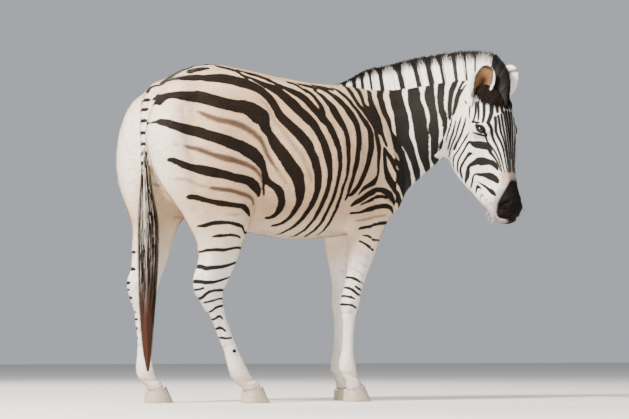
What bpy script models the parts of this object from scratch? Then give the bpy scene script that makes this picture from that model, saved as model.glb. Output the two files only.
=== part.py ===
"""A life-size standing plains zebra, its neck level and its head turned to its right.

Metres, +X towards the chest, +Y to the animal's left, +Z up, the floor at z = 0.
The flesh is made of lofts through anatomical stations, joined by a voxel remesh, relaxed
where limbs meet the trunk, thinned, and then parted into named nodes by thin cuts.
"""

import math

import bmesh
import bpy
import numpy as np
from mathutils import Matrix, Vector

# ---- driving dimensions -------------------------------------------------------------
GAP = 0.0003  # between two solids that touch
VOXEL = 0.0075  # of the remesh that joins the flesh
DETAIL_PULL = 0.03  # how strongly the thinning spares the head and legs
FLESH_TRIANGLES = 4600
RING_POINTS = 28
CENTRE = Vector((0.1073, -0.0826, 0.0))  # what the anatomy is moved by to centre the box

RIGHT, LEFT = -1, 1

# trunk: x, back z, widest level z, belly z, half width, squareness above and below
TRUNK = (
    (-0.618, 1.262, 1.040, 0.900, 0.120, 2.0, 2.0),
    (-0.585, 1.295, 1.045, 0.840, 0.165, 2.0, 2.0),
    (-0.535, 1.331, 1.050, 0.790, 0.208, 2.0, 2.0),
    (-0.460, 1.362, 1.060, 0.750, 0.242, 2.0, 2.0),
    (-0.366, 1.374, 1.060, 0.722, 0.255, 2.0, 2.0),
    (-0.240, 1.364, 1.040, 0.698, 0.272, 2.0, 2.1),
    (-0.100, 1.346, 1.010, 0.680, 0.295, 2.0, 2.1),
    (0.040, 1.332, 0.990, 0.668, 0.304, 2.0, 2.1),
    (0.170, 1.326, 0.980, 0.676, 0.287, 2.0, 2.1),
    (0.280, 1.328, 0.970, 0.690, 0.253, 1.9, 2.1),
    (0.370, 1.322, 0.960, 0.712, 0.218, 1.8, 2.1),
    (0.440, 1.260, 0.940, 0.735, 0.192, 1.9, 2.1),
    (0.500, 1.150, 0.920, 0.770, 0.155, 2.0, 2.0),
)

# neck: crest point, throat point (x, y, z), half width, squareness at the crest and below
NECK = (
    ((0.300, 0.000, 1.315), (0.360, 0.000, 0.800), 0.155, 1.7, 2.0),
    ((0.400, -0.010, 1.325), (0.460, -0.020, 0.810), 0.150, 1.6, 2.0),
    ((0.498, -0.033, 1.333), (0.540, -0.040, 0.840), 0.130, 1.5, 2.0),
    ((0.588, -0.072, 1.343), (0.585, -0.066, 0.895), 0.110, 1.5, 2.0),
    ((0.668, -0.125, 1.355), (0.630, -0.090, 0.940), 0.097, 1.6, 2.0),
    ((0.738, -0.195, 1.365), (0.675, -0.111, 0.985), 0.090, 1.8, 2.0),
    ((0.795, -0.275, 1.362), (0.725, -0.125, 1.030), 0.084, 2.0, 2.0),
)

# the head's own frame: from the poll down the face
POLL = Vector((0.812, -0.300, 1.360))
HEAD_HEADING = math.radians(-76)  # of the face, from +X
HEAD_DROP = math.radians(10)  # of the head's length, from plumb
# head: distance from the poll, face in front, jaw behind, half width at face, at jaw, squareness
HEAD = (
    (0.018, 0.022, 0.070, 0.042, 0.044, 2.0),
    (0.055, 0.058, 0.115, 0.068, 0.066, 2.1),
    (0.100, 0.078, 0.152, 0.086, 0.078, 2.2),
    (0.150, 0.088, 0.186, 0.094, 0.082, 2.3),
    (0.215, 0.090, 0.234, 0.096, 0.085, 2.4),
    (0.290, 0.083, 0.248, 0.086, 0.084, 2.4),
    (0.350, 0.075, 0.232, 0.072, 0.074, 2.4),
    (0.410, 0.068, 0.196, 0.059, 0.060, 2.4),
    (0.470, 0.070, 0.149, 0.054, 0.048, 2.4),
    (0.515, 0.075, 0.117, 0.056, 0.045, 2.4),
    (0.556, 0.077, 0.083, 0.057, 0.045, 2.3),
    (0.592, 0.068, 0.059, 0.051, 0.042, 2.2),
    (0.620, 0.044, 0.030, 0.034, 0.030, 2.0),
)
# swellings of the head: down the face, in front, to the side, and their three radii
ORBIT = (0.226, 0.018, 0.083, 0.046, 0.040, 0.033)
NOSTRIL = (0.560, 0.040, 0.032, 0.034, 0.030, 0.022)
CHIN = (0.578, -0.041, 0.0, 0.032, 0.032, 0.034)
EYE_PLACE = (0.232, 0.008, 0.0955)  # down the face, in front, to the side
EYE_RADIUS = 0.0215

# ear: root in the head's frame, the run to its tip, and where its opening looks
# in degrees from straight ahead, outward; the left ear is turned back
EAR_PLACES = {
    RIGHT: ((0.100, -0.014, 0.071), (-0.127, 0.094, 0.004), 46),
    LEFT: ((0.092, 0.004, 0.065), (-0.134, 0.082, 0.023), 112),
}
EAR_WALL = 0.0045
EAR_POINTS = 7  # across the outside of one section
# share of the run, half width, depth of the cup, wrap past the half turn in degrees
EAR = (
    (-0.16, 0.026, 0.026, 62),
    (0.05, 0.032, 0.030, 55),
    (0.22, 0.041, 0.032, 32),
    (0.40, 0.048, 0.029, 12),
    (0.58, 0.050, 0.023, 4),
    (0.74, 0.045, 0.016, 0),
    (0.87, 0.036, 0.011, 0),
    (0.95, 0.025, 0.008, 0),
    (1.00, 0.011, 0.006, 0),
)

# mane: root on the crest, tip of the hair, half width at the root
MANE_ON_NECK = (
    ((0.255, 0.000, 1.316), (0.258, 0.000, 1.330), 0.010),
    ((0.300, 0.000, 1.312), (0.300, 0.000, 1.348), 0.013),
    ((0.360, -0.004, 1.308), (0.355, -0.004, 1.380), 0.015),
    ((0.420, -0.013, 1.312), (0.410, -0.012, 1.408), 0.016),
    ((0.498, -0.033, 1.318), (0.482, -0.027, 1.426), 0.017),
    ((0.588, -0.072, 1.328), (0.566, -0.060, 1.452), 0.018),
    ((0.668, -0.125, 1.340), (0.646, -0.108, 1.470), 0.018),
    ((0.738, -0.195, 1.348), (0.724, -0.178, 1.484), 0.018),
    ((0.785, -0.258, 1.345), (0.780, -0.248, 1.488), 0.019),
)
# the same over the poll, each point as (down the face, in front)
MANE_ON_HEAD = (
    ((0.030, 0.000), (-0.108, 0.048), 0.020),
    ((0.040, 0.035), (-0.068, 0.092), 0.021),
    ((0.062, 0.048), (-0.012, 0.122), 0.022),
    ((0.090, 0.060), (0.044, 0.126), 0.022),
    ((0.118, 0.068), (0.098, 0.110), 0.020),
    ((0.142, 0.074), (0.136, 0.096), 0.014),
)
BLADE_POINTS = 12
BLADE_TAPER = 0.55  # of the mane's width, from root to tip

# tail: x, y, z, half width
DOCK = (
    (-0.585, 0.000, 1.250, 0.034),
    (-0.635, 0.000, 1.238, 0.032),
    (-0.664, 0.000, 1.195, 0.026),
    (-0.676, 0.000, 1.120, 0.021),
    (-0.678, 0.000, 1.030, 0.019),
    (-0.674, 0.000, 0.950, 0.017),
    (-0.672, 0.000, 0.905, 0.015),
)
TUFT = (
    (-0.672, 0.000, 0.9047, 0.0190),
    (-0.669, 0.000, 0.850, 0.022),
    (-0.664, 0.000, 0.770, 0.035),
    (-0.660, 0.000, 0.690, 0.041),
    (-0.659, 0.000, 0.590, 0.042),
    (-0.660, 0.000, 0.450, 0.038),
    (-0.662, 0.000, 0.300, 0.030),
    (-0.660, 0.000, 0.190, 0.022),
    (-0.656, 0.000, 0.120, 0.010),
)
TAIL_POINTS = 10

# legs: joints x, y (to the side), z
HIND_JOINTS = {
    RIGHT: {
        "hip": (-0.450, 0.115, 1.120),
        "stifle": (-0.375, 0.150, 0.760),
        "hock": (-0.458, 0.128, 0.465),
        "fetlock": (-0.305, 0.120, 0.125),
        "coronet": (-0.243, 0.118, 0.058),
    },
    LEFT: {
        "hip": (-0.450, 0.115, 1.120),
        "stifle": (-0.515, 0.150, 0.760),
        "hock": (-0.612, 0.128, 0.460),
        "fetlock": (-0.598, 0.120, 0.125),
        "coronet": (-0.553, 0.118, 0.058),
    },
}
FORE_JOINTS = {
    RIGHT: {
        "withers": (0.300, 0.100, 1.180),
        "shoulder": (0.405, 0.125, 0.960),
        "elbow": (0.315, 0.150, 0.770),
        "knee": (0.228, 0.128, 0.410),
        "fetlock": (0.226, 0.115, 0.145),
        "coronet": (0.262, 0.112, 0.058),
    },
    LEFT: {
        "withers": (0.300, 0.100, 1.180),
        "shoulder": (0.420, 0.125, 0.960),
        "elbow": (0.370, 0.150, 0.770),
        "knee": (0.364, 0.128, 0.410),
        "fetlock": (0.343, 0.115, 0.145),
        "coronet": (0.368, 0.112, 0.058),
    },
}
HIND_FULLNESS = {RIGHT: 1.0, LEFT: 0.84}  # of a hind leg ahead of its bones
# the seat and ham: x, y (to the side), z, half length, half width
HAM = {
    RIGHT: (
        (-0.548, 0.080, 1.262, 0.066, 0.066),
        (-0.586, 0.092, 1.215, 0.085, 0.085),
        (-0.612, 0.102, 1.130, 0.098, 0.098),
        (-0.626, 0.116, 1.030, 0.100, 0.104),
        (-0.594, 0.125, 0.920, 0.100, 0.105),
        (-0.545, 0.130, 0.830, 0.095, 0.092),
        (-0.492, 0.135, 0.745, 0.085, 0.075),
        (-0.450, 0.135, 0.660, 0.073, 0.058),
        (-0.435, 0.132, 0.580, 0.060, 0.045),
    ),
    LEFT: (
        (-0.548, 0.080, 1.262, 0.066, 0.066),
        (-0.586, 0.092, 1.215, 0.085, 0.085),
        (-0.612, 0.102, 1.130, 0.098, 0.098),
        (-0.626, 0.116, 1.030, 0.100, 0.104),
        (-0.622, 0.125, 0.900, 0.095, 0.105),
        (-0.597, 0.130, 0.800, 0.085, 0.090),
        (-0.577, 0.130, 0.710, 0.072, 0.070),
        (-0.570, 0.130, 0.630, 0.060, 0.055),
        (-0.572, 0.130, 0.560, 0.052, 0.044),
    ),
}
# stations of a limb: bone it lies on, share along it, front, back, half width, squareness
HIND_STATIONS = (
    ("hip", "stifle", 0.10, 0.150, 0.190, 0.105, 2.0),
    ("hip", "stifle", 0.35, 0.165, 0.225, 0.120, 2.0),
    ("hip", "stifle", 0.62, 0.175, 0.225, 0.115, 2.0),
    ("hip", "stifle", 0.85, 0.150, 0.190, 0.098, 2.0),
    ("stifle", "hock", 0.05, 0.110, 0.130, 0.085, 2.0),
    ("stifle", "hock", 0.30, 0.100, 0.104, 0.068, 2.0),
    ("stifle", "hock", 0.55, 0.095, 0.086, 0.054, 2.0),
    ("stifle", "hock", 0.80, 0.084, 0.072, 0.045, 2.0),
    ("hock", "fetlock", 0.00, 0.080, 0.068, 0.042, 2.3),
    ("hock", "fetlock", 0.12, 0.054, 0.056, 0.038, 2.3),
    ("hock", "fetlock", 0.28, 0.034, 0.038, 0.029, 2.2),
    ("hock", "fetlock", 0.50, 0.029, 0.033, 0.025, 2.1),
    ("hock", "fetlock", 0.75, 0.029, 0.034, 0.026, 2.1),
    ("hock", "fetlock", 0.93, 0.035, 0.042, 0.034, 2.1),
    ("fetlock", "coronet", 0.12, 0.035, 0.044, 0.035, 2.1),
    ("fetlock", "coronet", 0.50, 0.031, 0.033, 0.031, 2.1),
    ("fetlock", "coronet", 0.90, 0.036, 0.034, 0.036, 2.1),
    ("fetlock", "coronet", 1.15, 0.040, 0.036, 0.040, 2.1),
)
# the point of the hock: distance up the gaskin, reach behind it, half width
HOCK_POINT = (
    (-0.105, -0.040, 0.012),
    (-0.070, -0.008, 0.018),
    (-0.040, 0.024, 0.022),
    (-0.010, 0.044, 0.024),
    (0.030, 0.056, 0.025),
    (0.075, 0.055, 0.019),
    (0.140, 0.060, 0.014),
    (0.200, 0.060, 0.012),
)
FORE_STATIONS = (
    ("withers", "shoulder", 0.00, 0.080, 0.080, 0.050, 2.0),
    ("withers", "shoulder", 0.50, 0.095, 0.115, 0.075, 2.0),
    ("withers", "shoulder", 0.95, 0.112, 0.150, 0.090, 2.0),
    ("shoulder", "elbow", 0.45, 0.130, 0.145, 0.092, 2.0),
    ("shoulder", "elbow", 0.95, 0.096, 0.105, 0.076, 2.0),
    ("elbow", "knee", 0.15, 0.078, 0.085, 0.066, 2.0),
    ("elbow", "knee", 0.38, 0.066, 0.068, 0.055, 2.0),
    ("elbow", "knee", 0.62, 0.050, 0.050, 0.043, 2.0),
    ("elbow", "knee", 0.84, 0.040, 0.040, 0.038, 2.2),
    ("knee", "fetlock", 0.00, 0.042, 0.040, 0.040, 2.4),
    ("knee", "fetlock", 0.13, 0.034, 0.036, 0.035, 2.3),
    ("knee", "fetlock", 0.32, 0.026, 0.031, 0.026, 2.1),
    ("knee", "fetlock", 0.55, 0.024, 0.030, 0.024, 2.1),
    ("knee", "fetlock", 0.78, 0.026, 0.032, 0.026, 2.1),
    ("knee", "fetlock", 0.94, 0.034, 0.040, 0.034, 2.1),
    ("fetlock", "coronet", 0.12, 0.034, 0.042, 0.035, 2.1),
    ("fetlock", "coronet", 0.50, 0.030, 0.032, 0.031, 2.1),
    ("fetlock", "coronet", 0.90, 0.036, 0.034, 0.037, 2.1),
    ("fetlock", "coronet", 1.15, 0.040, 0.036, 0.041, 2.1),
)

# hooves: the band's slope up to the front, and rings at height, forward shift, front, back, half width
BAND_SLOPE = math.radians(18)
BAND_HEIGHT = 0.056
HOOF = (
    (0.000, 0.011, 0.063, 0.051, 0.0430),
    (0.003, 0.011, 0.066, 0.054, 0.0455),
    (0.022, 0.008, 0.058, 0.050, 0.0450),
)
HOOF_TOP = (0.044, 0.043, 0.0420)  # front, back, half width at the band
HOOF_POINTS = 18

# where the flesh is parted: a point of the plane, the way the piece cut off lies, the plane's
# own level direction, and how far the cell reaches along, beside and up or down
NECK_FROM_TRUNK = ((0.455, -0.010, 1.130), (0.885, 0.000, 0.465), (0, 1, 0), (1.0, 0.7, 0.32))
HEAD_FROM_NECK = ((0.725, -0.1185, 1.030), (0.2357, -0.9448, -0.225), (0.970, 0.242, 0), (0.8, 0.19, 0.55))
HIND_LEVELS = (("upper", 0.672), ("cannon", 0.385), ("pastern", 0.160))
FORE_LEVELS = (("upper", 0.662), ("cannon", 0.362), ("pastern", 0.182))
HIND_REACH = (-0.50, 0.34)  # middle of the cells in x, and half their length
FORE_REACH = (0.33, 0.30)
EYE_STEPS = (14, 7)

# colour, roughness
COAT = ((0.66, 0.58, 0.49), 0.75)
LEG_COAT = ((0.70, 0.64, 0.58), 0.75)
HAIR = ((0.16, 0.13, 0.11), 0.80)
TAIL_HAIR = ((0.12, 0.07, 0.05), 0.80)
HORN = ((0.23, 0.20, 0.17), 0.45)
EYE = ((0.020, 0.012, 0.008), 0.08)
SHARP_EDGE = math.radians(38)


# ---- lofts --------------------------------------------------------------------------
def ring(centre, ahead, side, front, back, half_width, front_power, back_power, count=RING_POINTS):
    """A closed section: two half superellipses that share their width."""
    points = []
    for step in range(count):
        angle = 2 * math.pi * step / count
        c, s = math.cos(angle), math.sin(angle)
        reach = front if c > 0 else back
        power = 2 / (front_power if c > 0 else back_power)
        points.append(
            Vector(centre)
            + Vector(ahead) * math.copysign(abs(c) ** power, c) * reach
            + Vector(side) * math.copysign(abs(s) ** power, s) * half_width
        )
    return np.array(points)


def smooth_rings(rings, between):
    """Rings along a Catmull-Rom curve through the given ones, with `between` steps a span."""
    stack = np.array(rings)
    padded = np.concatenate([2 * stack[:1] - stack[1:2], stack, 2 * stack[-1:] - stack[-2:-1]])
    centres = padded.mean(1)
    knots = np.concatenate([[0], np.cumsum(np.linalg.norm(np.diff(centres, axis=0), axis=1) ** 0.5)])
    made = []
    for i in range(1, len(padded) - 2):
        t0, t1, t2, t3 = knots[i - 1 : i + 3]
        p0, p1, p2, p3 = padded[i - 1 : i + 3]
        for step in range(between):
            t = t1 + (t2 - t1) * step / between
            a1 = (t1 - t) / (t1 - t0) * p0 + (t - t0) / (t1 - t0) * p1
            a2 = (t2 - t) / (t2 - t1) * p1 + (t - t1) / (t2 - t1) * p2
            a3 = (t3 - t) / (t3 - t2) * p2 + (t - t2) / (t3 - t2) * p3
            b1 = (t2 - t) / (t2 - t0) * a1 + (t - t0) / (t2 - t0) * a2
            b2 = (t3 - t) / (t3 - t1) * a2 + (t - t1) / (t3 - t1) * a3
            made.append((t2 - t) / (t2 - t1) * b1 + (t - t1) / (t2 - t1) * b2)
    made.append(stack[-1])
    return made


def dome(last, outward, depth, steps=5):
    """Rings that round off an end: the last ring shrinks as it moves outward."""
    centre = last.mean(0)
    rings = []
    for step in range(1, steps + 1):
        angle = 0.5 * math.pi * step / (steps + 0.4)
        rings.append(centre + (last - centre) * math.cos(angle) + np.array(outward) * depth * math.sin(angle))
    return rings


def skin_over(rings):
    """A closed bmesh over rings of equal counts, its faces pointing out."""
    form = bmesh.new()
    count = len(rings[0])
    rows = [[form.verts.new(point) for point in points] for points in rings]
    for near, far in zip(rows, rows[1:]):
        for i in range(count):
            form.faces.new((near[i], near[(i + 1) % count], far[(i + 1) % count], far[i]))
    form.faces.new(rows[0][::-1])
    form.faces.new(rows[-1])
    bmesh.ops.recalc_face_normals(form, faces=form.faces)
    return form


def mesh_object(name, form, collection):
    mesh = bpy.data.meshes.new(name)
    form.to_mesh(mesh)
    form.free()
    thing = bpy.data.objects.new(name, mesh)
    collection.objects.link(thing)
    return thing


# ---- the flesh ----------------------------------------------------------------------
def trunk_form():
    rings = [
        ring((x, 0, mid), (0, 0, 1), (0, 1, 0), top - mid, mid - low, half, above, below)
        for x, top, mid, low, half, above, below in TRUNK
    ]
    rings = smooth_rings(rings, 6)
    rump = dome(rings[0], (-1, 0, 0), 0.045)
    chest = dome(rings[-1], (1, 0, 0), 0.050)
    return skin_over(rump[::-1] + rings + chest)


def neck_form():
    rings = []
    for index, (crest, throat, half, above, below) in enumerate(NECK):
        before, after = NECK[max(index - 1, 0)], NECK[min(index + 1, len(NECK) - 1)]
        along = (Vector(after[0]) + Vector(after[1]) - Vector(before[0]) - Vector(before[1])).normalized()
        up = Vector(crest) - Vector(throat)
        centre = Vector(throat) + up * 0.42
        side = up.cross(along).normalized()
        height = up.length
        rings.append(ring(centre, up.normalized(), side, height * 0.58, height * 0.42, half, above, below))
    rings = smooth_rings(rings, 6)
    return skin_over(rings)


def head_axes():
    """The head's frame as (down the face, out of the face, to the animal's left)."""
    heading = Vector((math.cos(HEAD_HEADING), math.sin(HEAD_HEADING), 0))
    down = heading * math.sin(HEAD_DROP) + Vector((0, 0, -math.cos(HEAD_DROP)))
    out = heading * math.cos(HEAD_DROP) + Vector((0, 0, math.sin(HEAD_DROP)))
    left = down.cross(out) * -1
    return down.normalized(), out.normalized(), left.normalized()


def on_head(down_face, in_front, to_left):
    down, out, left = head_axes()
    return POLL + down * down_face + out * in_front + left * to_left


def head_form():
    down, out, left = head_axes()
    rings = []
    for along, face, jaw, half_face, half_jaw, power in HEAD:
        points = ring(POLL + down * along, out, left, face, jaw, 1.0, power, power)
        centre = np.array(POLL + down * along)
        offset = points - centre
        ahead = offset @ np.array(out)
        share = np.clip((ahead + jaw) / (face + jaw), 0, 1)
        wide = half_jaw + (half_face - half_jaw) * share
        sideways = (offset @ np.array(left)) * wide
        rings.append(centre + np.outer(ahead, out) + np.outer(sideways, left))
    rings = smooth_rings(rings, 6)
    crown = dome(rings[0], -np.array(down), 0.030)
    lips = dome(rings[-1], np.array(down), 0.012)
    return skin_over(crown[::-1] + rings + lips)


def swelling_form(place, side):
    """An ellipsoid in the head's frame."""
    along, in_front, aside, *radii = place
    down, out, left = head_axes()
    form = bmesh.new()
    bmesh.ops.create_uvsphere(form, u_segments=24, v_segments=16, radius=1.0)
    turn = Matrix((down, out, left)).transposed().to_4x4()
    spread = Matrix.Diagonal((*radii, 1))
    centre = Matrix.Translation(on_head(along, in_front, aside * side))
    bmesh.ops.transform(form, matrix=centre @ turn @ spread, verts=form.verts)
    bmesh.ops.recalc_face_normals(form, faces=form.faces)
    return form


def ham_form(stations, side):
    """The muscle of the seat, from the pin bone down into the gaskin."""
    rings = [
        ring((x, y * side, z), (1, 0, 0), (0, 1, 0), long, long, half, 2, 2)
        for x, y, z, long, half in stations
    ]
    rings = smooth_rings(rings, 5)
    return skin_over(dome(rings[0], (0, 0, 1), 0.05)[::-1] + rings)


def limb_form(joints, stations, side, fullness=1.0):
    """A limb lofted along its bones; each section stands square to the limb there."""
    placed = {name: Vector((x, y * side, z)) for name, (x, y, z) in joints.items()}
    centres = [placed[a].lerp(placed[b], share) for a, b, share, *_ in stations]
    rings = []
    for i, (_, _, _, front, back, half, power) in enumerate(stations):
        along = (centres[min(i + 1, len(centres) - 1)] - centres[max(i - 1, 0)]).normalized()
        lateral = Vector((0, 1, 0))
        ahead = lateral.cross(along).normalized()
        if ahead.x < 0:
            ahead.negate()
        lateral = ahead.cross(along).normalized()
        rings.append(ring(centres[i], ahead, lateral, front * fullness, back, half, power, power))
    return skin_over(smooth_rings(rings, 5))


def hock_point_form(joints, side):
    """The heel bone that stands out behind the hock, with the tendon that runs up from it."""
    hock = Vector((joints["hock"][0], joints["hock"][1] * side, joints["hock"][2]))
    stifle = Vector((joints["stifle"][0], joints["stifle"][1] * side, joints["stifle"][2]))
    up = (stifle - hock).normalized()
    back = Vector((-1, 0, 0.1)).normalized()
    rings = [
        ring(hock + up * along + back * reach, back, Vector((0, 1, 0)), 0.020, 0.030, half, 2, 2)
        for along, reach, half in HOCK_POINT
    ]
    return skin_over(smooth_rings(rings, 4))


def joined(forms, name, collection):
    whole = bmesh.new()
    for form in forms:
        piece = bpy.data.meshes.new("piece")
        form.to_mesh(piece)
        form.free()
        whole.from_mesh(piece)
        bpy.data.meshes.remove(piece)
    return mesh_object(name, whole, collection)


def evaluated_copy(thing, name, collection):
    """The object's mesh with its modifiers applied, as a new object."""
    bpy.context.view_layer.update()
    graph = bpy.context.evaluated_depsgraph_get()
    mesh = bpy.data.meshes.new_from_object(thing.evaluated_get(graph))
    copy = bpy.data.objects.new(name, mesh)
    copy.matrix_world = thing.matrix_world
    collection.objects.link(copy)
    return copy


def relax(mesh, strength, rounds):
    """Moves each point towards the mean of its neighbours by its own strength."""
    points = np.empty(len(mesh.vertices) * 3)
    mesh.vertices.foreach_get("co", points)
    points = points.reshape(-1, 3)
    edges = np.empty(len(mesh.edges) * 2, np.int64)
    mesh.edges.foreach_get("vertices", edges)
    a, b = edges.reshape(-1, 2).T
    count = np.bincount(a, minlength=len(points)) + np.bincount(b, minlength=len(points))
    share = strength(points)[:, None]
    for _ in range(rounds):
        mean = np.empty_like(points)
        for axis in range(3):
            total = np.bincount(a, points[b, axis], len(points))
            total += np.bincount(b, points[a, axis], len(points))
            mean[:, axis] = total / count
        points += share * (mean - points)
    mesh.vertices.foreach_set("co", points.ravel())
    mesh.update()


def near(points, centre, radius):
    """1 at the centre, falling smoothly to 0 at the radius."""
    away = np.linalg.norm(points - np.array(centre), axis=1) / radius
    return np.clip(1 - away * away, 0, 1) ** 2


def junction_strength(points):
    """Where the flesh of two lofts runs together, and how much it is relaxed."""
    strength = np.full(len(points), 0.05)
    places = [
        ((0.45, -0.03, 1.10), 0.42, 0.9),
        ((0.80, -0.26, 1.18), 0.16, 0.8),
        ((-0.56, 0.00, 1.25), 0.24, 0.8),
    ]
    for side in (RIGHT, LEFT):
        places += [
            ((-0.42, 0.17 * side, 0.85), 0.34, 0.9),
            ((-0.45, 0.20 * side, 1.10), 0.30, 0.9),
            ((0.36, 0.16 * side, 0.84), 0.26, 0.9),
            ((0.36, 0.16 * side, 1.10), 0.25, 0.9),
        ]
    for centre, radius, amount in places:
        strength = np.maximum(strength, amount * np.minimum(1, 2 * near(points, centre, radius)))
    return strength


def detail_share(points):
    """How much of its detail the flesh keeps when it is thinned: most on the head, then the legs."""
    head = near(points, on_head(0.32, -0.04, 0), 0.42)
    legs = np.clip((0.62 - points[:, 2]) / 0.20, 0, 1)
    return np.clip(np.maximum(2.2 * head, 0.55 * legs), 0, 1)


def flesh(collection):
    forms = [trunk_form(), neck_form(), head_form(), swelling_form(CHIN, 0)]
    for side in (RIGHT, LEFT):
        forms.append(limb_form(HIND_JOINTS[side], HIND_STATIONS, side, HIND_FULLNESS[side]))
        forms.append(ham_form(HAM[side], side))
        forms.append(hock_point_form(HIND_JOINTS[side], side))
        forms.append(limb_form(FORE_JOINTS[side], FORE_STATIONS, side))
        forms.append(swelling_form(ORBIT, side))
        forms.append(swelling_form(NOSTRIL, side))
    body = joined(forms, "flesh_lofts", collection)
    remesh = body.modifiers.new("one_skin", "REMESH")
    remesh.mode = "VOXEL"
    remesh.voxel_size = VOXEL
    remesh.adaptivity = 0.0
    fine = evaluated_copy(body, "flesh_fine", collection)
    relax(fine.data, junction_strength, 40)
    points = np.array([vertex.co for vertex in fine.data.vertices])
    thinned = fine.vertex_groups.new(name="thinned")
    for index, share in enumerate(detail_share(points)):
        thinned.add([index], 1 - 0.5 * float(share), "REPLACE")
    thin = fine.modifiers.new("thin_out", "DECIMATE")
    thin.ratio = FLESH_TRIANGLES / (2 * len(fine.data.polygons))
    thin.vertex_group = "thinned"
    thin.vertex_group_factor = DETAIL_PULL
    return evaluated_copy(fine, "flesh", collection)


# ---- ears, eyes, hooves, mane and tail ----------------------------------------------
def ear_section(centre, opening, beside, half, cup, wrap):
    """A crescent: round the outside of the ear's wall, then back round its inside."""
    reach = math.radians(90 + wrap)
    angles = [reach * (2 * step / (EAR_POINTS - 1) - 1) for step in range(EAR_POINTS)]
    outside = [
        centre + beside * half * math.sin(angle) - opening * cup * math.cos(angle) for angle in angles
    ]
    thin_half, thin_cup = half - EAR_WALL, max(cup - EAR_WALL, 0.0005)
    inside = [
        centre + beside * thin_half * math.sin(angle) - opening * thin_cup * math.cos(angle)
        for angle in angles[::-1]
    ]
    return np.array(outside + inside)


def ear_form(side):
    down, out, left = head_axes()
    outward = left * side
    place, reach, turn = EAR_PLACES[side]
    run = down * reach[0] + out * reach[1] + outward * reach[2]
    along = run.normalized()
    opening = out * math.cos(math.radians(turn)) + outward * math.sin(math.radians(turn))
    opening = (opening - along * opening.dot(along)).normalized()
    beside = along.cross(opening)
    root = on_head(place[0], place[1], place[2] * side)
    rings = []
    for share, half, cup, wrap in EAR:
        rings.append(ear_section(root + run * share, opening, beside, half, cup, wrap))
    return skin_over(rings)


def blade(root, tip, lateral, half):
    """A tall narrow section from root to tip, thinner towards the tip."""
    root, tip = Vector(root), Vector(tip)
    rise = tip - root
    centre = (root + tip) / 2
    tall = rise.length / 2
    points = ring(centre, rise.normalized(), lateral, tall, tall, half, 2.6, 2.6, BLADE_POINTS)
    offset = points - np.array(root)
    share = np.clip(offset @ np.array(rise) / rise.length_squared, 0, 1)
    sideways = np.outer(offset @ np.array(lateral), lateral)
    return points - sideways * (share * BLADE_TAPER)[:, None]


def mane_form():
    roots = [Vector(root) for root, _, _ in MANE_ON_NECK]
    tips = [Vector(tip) for _, tip, _ in MANE_ON_NECK]
    halves = [half for _, _, half in MANE_ON_NECK]
    for (root_down, root_out), (tip_down, tip_out), half in MANE_ON_HEAD:
        roots.append(on_head(root_down, root_out, 0))
        tips.append(on_head(tip_down, tip_out, 0))
        halves.append(half)
    rings = []
    last = len(roots) - 1
    for i, (root, tip, half) in enumerate(zip(roots, tips, halves)):
        middle_before = (roots[max(i - 1, 0)] + tips[max(i - 1, 0)]) / 2
        middle_after = (roots[min(i + 1, last)] + tips[min(i + 1, last)]) / 2
        lateral = (tip - root).cross(middle_after - middle_before).normalized()
        rings.append(blade(root, tip, lateral, half))
    return skin_over(smooth_rings(rings, 2))


def tail_form(stations, level_at):
    """A round loft; the ring at `level_at` lies level, where dock and tuft meet."""
    centres = [Vector(station[:3]) for station in stations]
    rings = []
    for i, (centre, station) in enumerate(zip(centres, stations)):
        along = (centres[min(i + 1, len(centres) - 1)] - centres[max(i - 1, 0)]).normalized()
        if i == level_at:
            along = Vector((0, 0, -1))
        lateral = Vector((0, 1, 0))
        ahead = lateral.cross(along)
        half = station[3]
        rings.append(ring(centre, ahead, lateral, half, half, half, 2, 2, TAIL_POINTS))
    return skin_over(smooth_rings(rings, 2))


def hoof_form(joints, side):
    x, y, _ = joints["coronet"]
    level = Vector((1, 0, 0))
    lateral = Vector((0, 1, 0))
    rings = []
    for height, shift, front, back, half in HOOF:
        centre = Vector((x + shift, y * side, height))
        rings.append(ring(centre, level, lateral, front, back, half, 2.2, 2.4, HOOF_POINTS))
    uphill = Vector((math.cos(BAND_SLOPE), 0, math.sin(BAND_SLOPE)))
    front, back, half = HOOF_TOP
    top = Vector((x, y * side, BAND_HEIGHT))
    rings.append(ring(top, uphill, lateral, front, back, half, 2.1, 2.1, HOOF_POINTS))
    return skin_over(rings)


def eye_form(side, radius):
    form = bmesh.new()
    bmesh.ops.create_uvsphere(form, u_segments=EYE_STEPS[0], v_segments=EYE_STEPS[1], radius=radius)
    down, out, left = head_axes()
    turn = Matrix((out, down, left)).transposed().to_4x4()
    along, in_front, aside = EYE_PLACE
    centre = Matrix.Translation(on_head(along, in_front, aside * side))
    bmesh.ops.transform(form, matrix=centre @ turn, verts=form.verts)
    bmesh.ops.recalc_face_normals(form, faces=form.faces)
    return form


# ---- parting ------------------------------------------------------------------------
def cell(name, point, direction, level, reach, collection):
    """A box that starts at a plane and lies on one side of it."""
    depth, beside, height = reach
    direction = Vector(direction).normalized()
    level = Vector(level)
    level = (level - direction * level.dot(direction)).normalized()
    rise = direction.cross(level)
    form = bmesh.new()
    bmesh.ops.create_cube(form, size=1.0)
    turn = Matrix((direction, level, rise)).transposed().to_4x4()
    centre = Matrix.Translation(Vector(point) + direction * depth / 2)
    spread = Matrix.Diagonal((depth, 2 * beside, 2 * height, 1))
    bmesh.ops.transform(form, matrix=centre @ turn @ spread, verts=form.verts)
    bmesh.ops.recalc_face_normals(form, faces=form.faces)
    return mesh_object(name, form, collection)


def combined(thing, tool, operation, name, collection):
    """A copy of an object with a Boolean applied."""
    work = bpy.data.objects.new(name + "_work", thing.data)
    collection.objects.link(work)
    boolean = work.modifiers.new("cut", "BOOLEAN")
    boolean.solver = "EXACT"
    boolean.operation = operation
    boolean.object = tool
    made = evaluated_copy(work, "guide_" + name, collection)
    bpy.data.objects.remove(work)
    return made


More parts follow.
